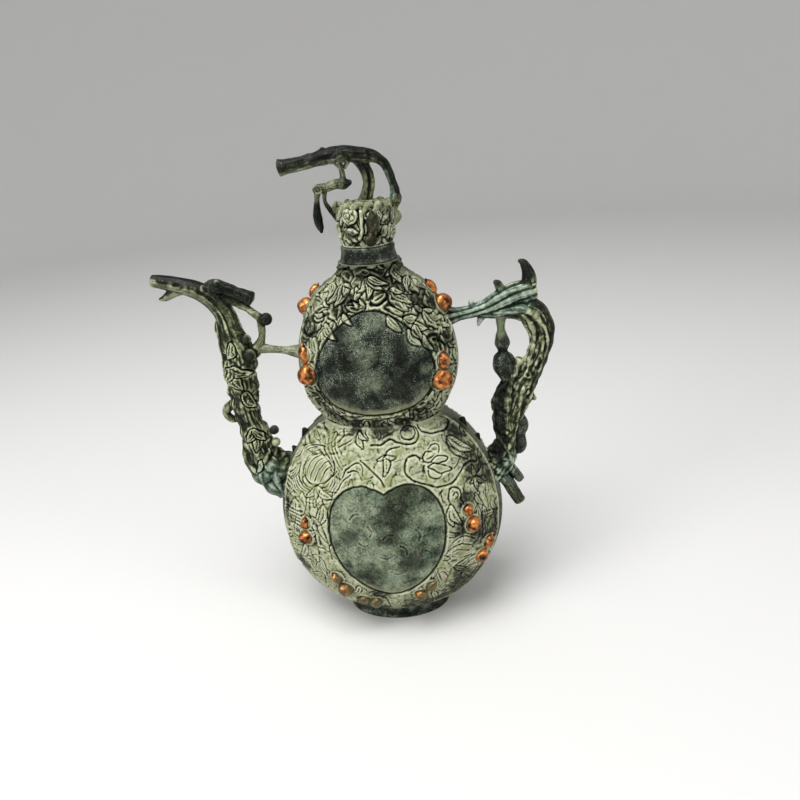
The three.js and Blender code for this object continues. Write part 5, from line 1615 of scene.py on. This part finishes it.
# %% Dark gourds of the handle
PENDANT = out_from_side(1, [
    (1.6, 0, 157, 2.8), (1.6, 0, 151, 1.9), (1.8, 0, 147.4, 2.7), (2.1, 0, 143.4, 3.7),
    (2.2, 0, 139.6, 2.4), (2.3, 0, 137.2, 4.5), (2.6, 0, 134, 5.5), (3, 0, 131, 5.4), (3.4, 0, 128, 4.2),
    (3.9, 0, 124, 2.4),
])
OUTER_PAIR = out_from_side(1, [
    (8.6, 2, 107, 1.2), (9, 2, 103.4, 4), (9.4, 2, 99, 5), (9.3, 2, 95, 3.5), (9.1, 2, 92.2, 4),
    (8.8, 2, 88.6, 4.5), (8.4, 2, 85.6, 3.2), (8.2, 2, 84, 0.8),
])
for name, node, stations in (("hanging_dark_gourd", "handle_pendant_gourd", PENDANT),
                             ("twin_dark_gourds", "handle_gourd_pair", OUTER_PAIR)):
    skin = skin_of(name, [rounded_end(branch_path(stations, 0.3))], voxel=0.28)
    points = get_points(skin)
    dents = 0.3 * value_noise(points, 3.0, 61) + 0.1 * value_noise(points, 1.2, 62)
    masks = {"dusted": step_up(points[:, 2] + 3 * value_noise(points, 3.0, 63), 145, 150)}
    finish = ("vessel", "dark_bronze", smooth_bronze, node)
    finish_branch(skin, (points, get_normals(skin), dents), finish, masks)

# %% [markdown]
# ## Lid
# The lid is a small drum with a slight dome. Leaves and roses are carved round it, and a bud and a thorn
# stand out from it. Its outline is spun as one wall, like the body, and then carved.

# %% Lid drum
LID_FOOT = RIM + 0.3
LID = {"half": 12.8, "base": 11.5, "height": 16.6, "dome": 3, "hollow": 13.5, "inner": 9.3}
ON_AXIS = 0.01  # stands for a radius of 0 while the outline is drawn
LID_BUD = [(LID["half"] + x, y, LID_FOOT + z, r) for x, y, z, r in
           [(-2, 0, 8, 1.6), (0, 0, 9, 2), (1.4, 0, 11, 2), (0.8, 0, 13.6, 1)]]
LID_THORN = [(-(LID["half"] + x), y, LID_FOOT + z, r) for x, y, z, r in
             [(-2.5, 0, 14, 1.8), (0.2, 0, 16.2, 1.3), (-0.6, 0, 19.2, 0.6)]]


def lid_outline():
    """The lid's section from the middle of its top round to the middle of its hollow."""
    half, tall, dome = LID["half"], LID["height"], LID["dome"]
    shoulder, ceiling = LID_FOOT + tall, LID_FOOT + LID["hollow"]
    outside = [
        (ON_AXIS, shoulder + dome), (0.35 * half, shoulder + 0.92 * dome),
        (0.65 * half, shoulder + 0.66 * dome), (0.88 * half, shoulder + 0.2 * dome),
        (0.97 * half, shoulder - 1.5), (half, LID_FOOT + 0.7 * tall), (half, LID_FOOT + 0.4 * tall),
        (0.95 * half, LID_FOOT + 0.15 * tall), (LID["base"], LID_FOOT + 0.3), (LID["base"] - 0.4, LID_FOOT),
    ]
    hollow = [(LID["inner"], LID_FOOT), (LID["inner"], ceiling), (ON_AXIS, ceiling)]
    return np.vstack([smooth_line(outside, 0.3), hollow])


lid_line = [(r if r > 2 * ON_AXIS else 0, z) for r, z in lid_outline()]
lid_drum = spun_mesh("carved_lid_drum", lid_line, 264, closed=False, merge=0.001)


# %% Carve the lid
def lid_out(turn):
    angle = math.radians(turn)
    return np.array([math.sin(angle), -math.cos(angle), 0])


def lid_place(turn, z):
    return LID["half"] * lid_out(turn) + [0, 0, LID_FOOT + z]


def lid_leaf(height, points, base, tip, **look):
    middle = (base[0] + tip[0]) / 2
    punch_leaf(height, points, lid_place(*base), lid_place(*tip), lid_out(middle), **look)


def stamp_rose(height, points, middle, normal, radius, top):
    """A domed flower whose rings of petals step down from the centre."""
    along = np.cross([0, 0, 1.0], normal)
    along /= np.linalg.norm(along)
    up = np.cross(normal, along)
    offset = points - middle
    x, y = offset @ along, offset @ up
    gap, angle = np.hypot(x, y), np.arctan2(y, x)
    form = top - 0.3 * (gap / radius) ** 2 + 0.3 * value_noise(points, 1.4, 77)
    for ring, share in enumerate(ROSE_RINGS):
        edge = share * radius * (1 + 0.16 * np.cos(ROSE_PETALS * angle + 2.2 * ring))
        form -= 0.22 * (gap > edge) + 0.6 * np.exp(-(((gap - edge) / 0.25) ** 2))
    inside = (gap < radius) & (np.abs(offset @ normal) < radius)
    rim = (gap >= radius) & (gap < radius + 1.2) & (np.abs(offset @ normal) < radius + 1)
    height[inside] = form[inside]
    height[rim] -= 0.7 * np.exp(-(((gap[rim] - radius - 0.2) / 0.4) ** 2))


ROSE_RINGS, ROSE_PETALS = (0.3, 0.66), 5
ROSES = [(-27, 14.2, 4.0), (150, 10, 4.0), (75, 5, 3.0)]  # turn, height, radius
FAN_BASE = (-32, 8.6)
FAN_TIPS = [(-58, 6.4), (-50, 2.8), (-32, 1.0), (-15, 2.6), (-9, 6.6)]
LID_BAND = [(-4, 18), (0, 14), (-1, 9.5), (-6, 5), (-17, 1.6), (-34, 0.7)]  # a raised band round rose and fan
LID_LEAVES = [
    ((26, 16.5), (6, 12.5)), ((30, 16.8), (46, 9.5)), ((60, 14), (38, 11)), ((50, 8.6), (28, 3.5)),
    ((66, 9.5), (52, 2.2)), ((34, 5), (20, 0.8)), ((80, 15.5), (68, 9)), ((-54, 16.5), (-74, 11)),
    ((-66, 11), (-60, 3.5)), ((-84, 9), (-76, 1.5)), ((40, 2.8), (60, 0.8)), ((4, 16.8), (9, 11.5)),
]
LID_LEAF = {"broad": 0.28, "top": 0.8, "moat": 0.9, "vein": 0.14, "ribbed": 0.7}
LID_FILLER = {"broad": 0.24, "top": 0.3, "moat": 0.55, "vein": 0.14, "ribbed": 0.5}
FILLER_ROWS, FILLER_COLUMNS = (0.5, 5.0, 9.5, 13.5), 12  # heights of the rows, leaves in each

points, normals = get_points(lid_drum, 1), get_normals(lid_drum)
lid_radius = np.hypot(points[:, 0], points[:, 1])
lid_outside = (lid_radius > LID["base"] - 0.6) | (points[:, 2] > LID_FOOT + LID["hollow"] + 1)
skin = points[lid_outside]
hand = bent_by_hand(skin, 2.4, 1.2, 76)
drum = 0.5 * value_noise(skin, 2.4, 71) + 0.3 * value_noise(skin, 1.1, 70) - 0.35
drum -= 0.5 * curls(hand, 3.0, 0.45, 78)
rng = np.random.default_rng(72)
for row, low in enumerate(FILLER_ROWS):
    for column in range(FILLER_COLUMNS):
        turn = (column + 0.5 * (row % 2)) * 360 / FILLER_COLUMNS + rng.uniform(-8, 8)
        lean, rise = rng.uniform(-22, 22), rng.uniform(4.5, 6.5)
        lid_leaf(drum, hand, (turn, low), (turn + lean, low + rise), **LID_FILLER)
for base, tip in LID_LEAVES:
    lid_leaf(drum, hand, base, tip, **LID_LEAF)
for tip in FAN_TIPS:
    lid_leaf(drum, hand, FAN_BASE, tip, **LID_LEAF)
for turn, z, radius in ROSES:
    stamp_rose(drum, hand, lid_place(turn, z), lid_out(turn), radius, 1.1)
band = smooth_line([lid_place(turn, z) for turn, z in LID_BAND], 0.3)
gap = distance_to(hand, band, 4)
drum = np.where(gap < 0.8, 0.75, drum) - 0.7 * np.exp(-(((gap - 1.1) / 0.35) ** 2))
height = np.zeros(len(points))
height[lid_outside] = np.clip(drum, -1.3, 1.1)
height *= step_up(points[:, 2], LID_FOOT + 0.1, LID_FOOT + 0.7) * lid_outside
set_points(lid_drum, points + height[:, None] * normals)
set_tone(lid_drum, near=2.2, broad=0.9, middle=0.53)
# Dark patches of dirt from noise, and painted shade on the lid's right side, away from the lamps.
lid_soot_and_shade = 0.5 + 1.4 * value_noise(points, 5.0, 79) + 0.8 * value_noise(points, 1.6, 80)
lid_soot_and_shade += 0.3 * step_up(points[:, 0], 1, 8)
set_attribute(lid_drum, "soot_and_shade", 0.8 * step_up(lid_soot_and_shade, 0.72, 1.0))
finish_piece(lid_drum, "lid", "carved_bronze", lid_bronze, "lid_cup")

# %% Bud, thorn and rim of the lid
RIM_TIPS = [  # turn, height and radius where a curled leaf stands on the lid's top edge
    (-40, 17.6, 1.5), (-12, 17.8, 1.2), (14, 17.9, 1.3), (38, 17.6, 1.5), (62, 17.2, 1.3), (98, 17.4, 1.5),
    (140, 17.6, 1.3), (185, 17.4, 1.5), (225, 17.6, 1.3), (262, 17.4, 1.4),
]
rim_leaves = []
for turn, z, radius in RIM_TIPS:
    foot, crest, tip = lid_place(turn - 14, z - 4), lid_place(turn, z), lid_place(turn + 16, z - 0.4)
    places = [foot * [0.96, 0.96, 1], crest * [0.88, 0.88, 1], tip * [0.78, 0.78, 1]]
    rim_leaves.append([(*place, size) for place, size in zip(places, (0.5 * radius, radius, 0.5 * radius))])
lid_growths = {"lid_side_bud": [LID_BUD], "lid_side_thorn": [LID_THORN], "lid_rim_leaves": rim_leaves}
for name, lines in lid_growths.items():
    skin = skin_of(name, [rounded_end(branch_path(stations, 0.3)) for stations in lines], voxel=0.22)
    points = get_points(skin)
    relief = (points, get_normals(skin), 0.25 * value_noise(points, 1.4, 73))
    finish_branch(skin, relief, ("lid", "carved_bronze", lid_bronze, "lid_cup"))

# %% Gourds of the lid
LID_GOURDS = [(x, -(LID["half"] + proud), LID_FOOT + z, r) for x, proud, z, r in [
    (3, 0, 0.8, 0.8), (2.9, 0, 1.8, 2.2), (3, 0.2, 3.9, 2.9), (3.5, 0, 6.6, 1.6), (4.1, 0, 9.2, 2.9),
    (4.5, 0, 11.4, 2.9), (4.3, 0, 14.4, 1.3), (4.1, 0, 15.6, 0.6),
]]
skin = skin_of("lid_dark_gourds", [rounded_end(branch_path(LID_GOURDS, 0.3))], voxel=0.22)
points = get_points(skin)
relief = (points, get_normals(skin), 0.5 * value_noise(points, 2.0, 74))
finish_branch(skin, relief, ("lid", "dark_bronze", brown_bronze, "lid_gourd_pair"))

# %% [markdown]
# ## The branch on the lid
# A stem leaves the right of the lid, arches over it and ends in a blunt flared cut on the left. Two stalks
# carry it, and a hooked tendril with a curl and a hanging pod grows below it. The stem is nearly smooth, so
# it has one full core with two low strands. Its colours come from masks: black above and outside, dusted
# below, and blue green inside the arch on the right.

# %% Finial
def over_rim(stations):
    return [(x, y, RIM + z, radius) for x, y, z, radius in stations]


FINIAL_STEM = over_rim([
    (-35.6, 0, 35.2, 4.1), (-34.4, 0, 35.3, 3.7), (-32, 0, 35.6, 3.3), (-27, 0, 36.3, 3.3),
    (-21, 0, 37.2, 3.3), (-14, 0, 38.4, 3.7), (-7, 0, 38.9, 3.9), (0, 0, 38, 3.6), (5.8, 0, 37, 2.8),
    (10, 0, 34.2, 2.3), (12.2, 0, 30, 2.1), (13.5, 0, 25, 2), (14.1, 0, 21, 2.4), (14, 0, 18.4, 2.6),
    (13.2, 0, 15.2, 1.6), (11.6, 0, 11.6, 1.5),
])
FINIAL_STALKS = [over_rim(stalk) for stalk in (
    [(-2.6, -1, 37, 1.6), (0.4, -1, 32.6, 1.4), (1.8, -1, 27.6, 1.4), (1.2, -1, 23.4, 1.5),
     (-0.6, -1, 18.6, 2.1)],
    [(0.6, 0.9, 37, 1.6), (3.2, 0.9, 32.4, 1.4), (4.4, 0.9, 27.6, 1.4), (3.6, 0.9, 23.4, 1.5),
     (1.6, 0.9, 18.6, 2.1)],
    [(-14, -1.6, 37, 1.2), (-9.6, -2.8, 38.4, 1.5), (-5, -2.4, 40, 1.2), (-2, -2.4, 39, 0.9)],
    [(-9, -2, 41, 0.8), (-6, -2.8, 39, 1.2), (-5, -2.8, 36, 1.2), (-6.6, -2, 33.4, 0.9)],
)]
FINIAL_KNOTS = over_rim([
    (-7.4, -2.6, 39.2, 1.7), (2.4, -1.8, 38.6, 1.8), (14.4, -0.6, 19.4, 2.6), (-15.5, 0, 40.8, 1.5),
])
stem_path = branch_path(FINIAL_STEM, 0.5)
finial_strands = [twist_strand(stem_path, 0, 0, 0, 0.95, wobble=0.015)]
for count, phase in enumerate(np.radians([60, 200])):
    finial_strands.append(twist_strand(stem_path, 0.5, phase, 0.6, 0.4, wobble=0, seed=count))
finial_strands += [rounded_end(branch_path(stalk, 0.5)) for stalk in FINIAL_STALKS]
skin = skin_of("bent_branch_finial", finial_strands, FINIAL_KNOTS, voxel=0.32)
points, normals, height = cut_bark(skin, stem_path, streak=0.16, knots=0.5, seed=81)
above = step_up(normals[:, 2] + 0.8 * value_noise(points, 2.0, 84), -0.75, -0.15)
left_of_arch = 1 - step_up(points[:, 0], 2, 8)
on_arch = step_up(points[:, 0], 8, 11) * step_up(points[:, 2], RIM + 16, RIM + 22)
outward = step_up(normals[:, 0] + 0.8 * value_noise(points, 1.6, 85), -0.5, 0.1)
masks = {
    "bare": np.maximum(above * step_up(points[:, 2], RIM + 27, RIM + 33), on_arch * outward),
    "teal": 0.85 * on_arch * (1 - outward),
    "dusted": (1 - above) * left_of_arch * step_up(points[:, 2], RIM + 30, RIM + 33),
}
finish = ("lid", "branch_bronze", branch_bronze, "lid_finial")
finish_branch(skin, (points, normals, height), finish, masks)

# %% Tendril
TENDRIL = [over_rim(stations) for stations in (
    [(-9.6, 0, 36, 2.2), (-8.6, 0, 33, 1.3), (-8, 0, 30, 1.2), (-8.6, 0, 27.4, 1.7), (-12, 0, 26.6, 2.1),
     (-15.4, 0, 25.6, 2), (-18, 0, 25.6, 1.8), (-20.4, 0, 25, 1.7)],
    [(-11, 0, 26.4, 1.8), (-8, 0, 26.6, 2.4), (-5.6, 0, 27, 1.3)],
    [(-19.8, 0, 25, 1.7), (-20.4, 0, 20.8, 1.4), (-21, 0, 16.4, 1.8), (-21, 0, 12, 2.2), (-20.4, 0, 8.6, 1.7),
     (-20.2, 0, 7, 0.9)],
    [(-16.4, 0.4, 24.8, 1.2), (-17.2, 0.6, 20, 1), (-15.6, 0.6, 16.6, 1.1), (-13.4, 0.4, 13.6, 1.4),
     (-11.4, 0, 10.6, 1.5)],
)]
CURL = {"x": -19.4, "y": -1.5, "z": RIM + 24.8, "radius": 2.1, "turns": 1.6, "thick": 0.55}


def spiral_line():
    """A small spiral that lies on the front of the tendril."""
    turns = np.linspace(0, 2 * math.pi * CURL["turns"], 50)
    reach = CURL["radius"] * (1 - 0.8 * turns / turns[-1])
    place = [CURL["x"] - reach * np.cos(turns), CURL["y"] + 0 * turns, CURL["z"] + reach * np.sin(turns)]
    return np.column_stack([*place, np.full(len(turns), CURL["thick"])])


tendril_paths = [branch_path(stations, 0.4) for stations in TENDRIL]
skin = skin_of("hooked_tendril", [*(rounded_end(path) for path in tendril_paths), spiral_line()],
               over_rim([(-19.2, 0, 25.2, 2.1)]), voxel=0.24)
relief = cut_bark(skin, tendril_paths[0], streak=0.2, knots=0.3, seed=83)
points = relief[0]
masks = {
    "bare": patch(points, [(-20.6, RIM + 12, 8), (-6, RIM + 27, 2.2)], 1.6),
    "dusted": patch(points, [(-14, RIM + 26, 7), (-19.4, RIM + 25, 3.4), (-9, RIM + 33, 4)], 1.5),
}
finish_branch(skin, relief, ("lid", "branch_bronze", branch_bronze, "finial_tendril"), masks)
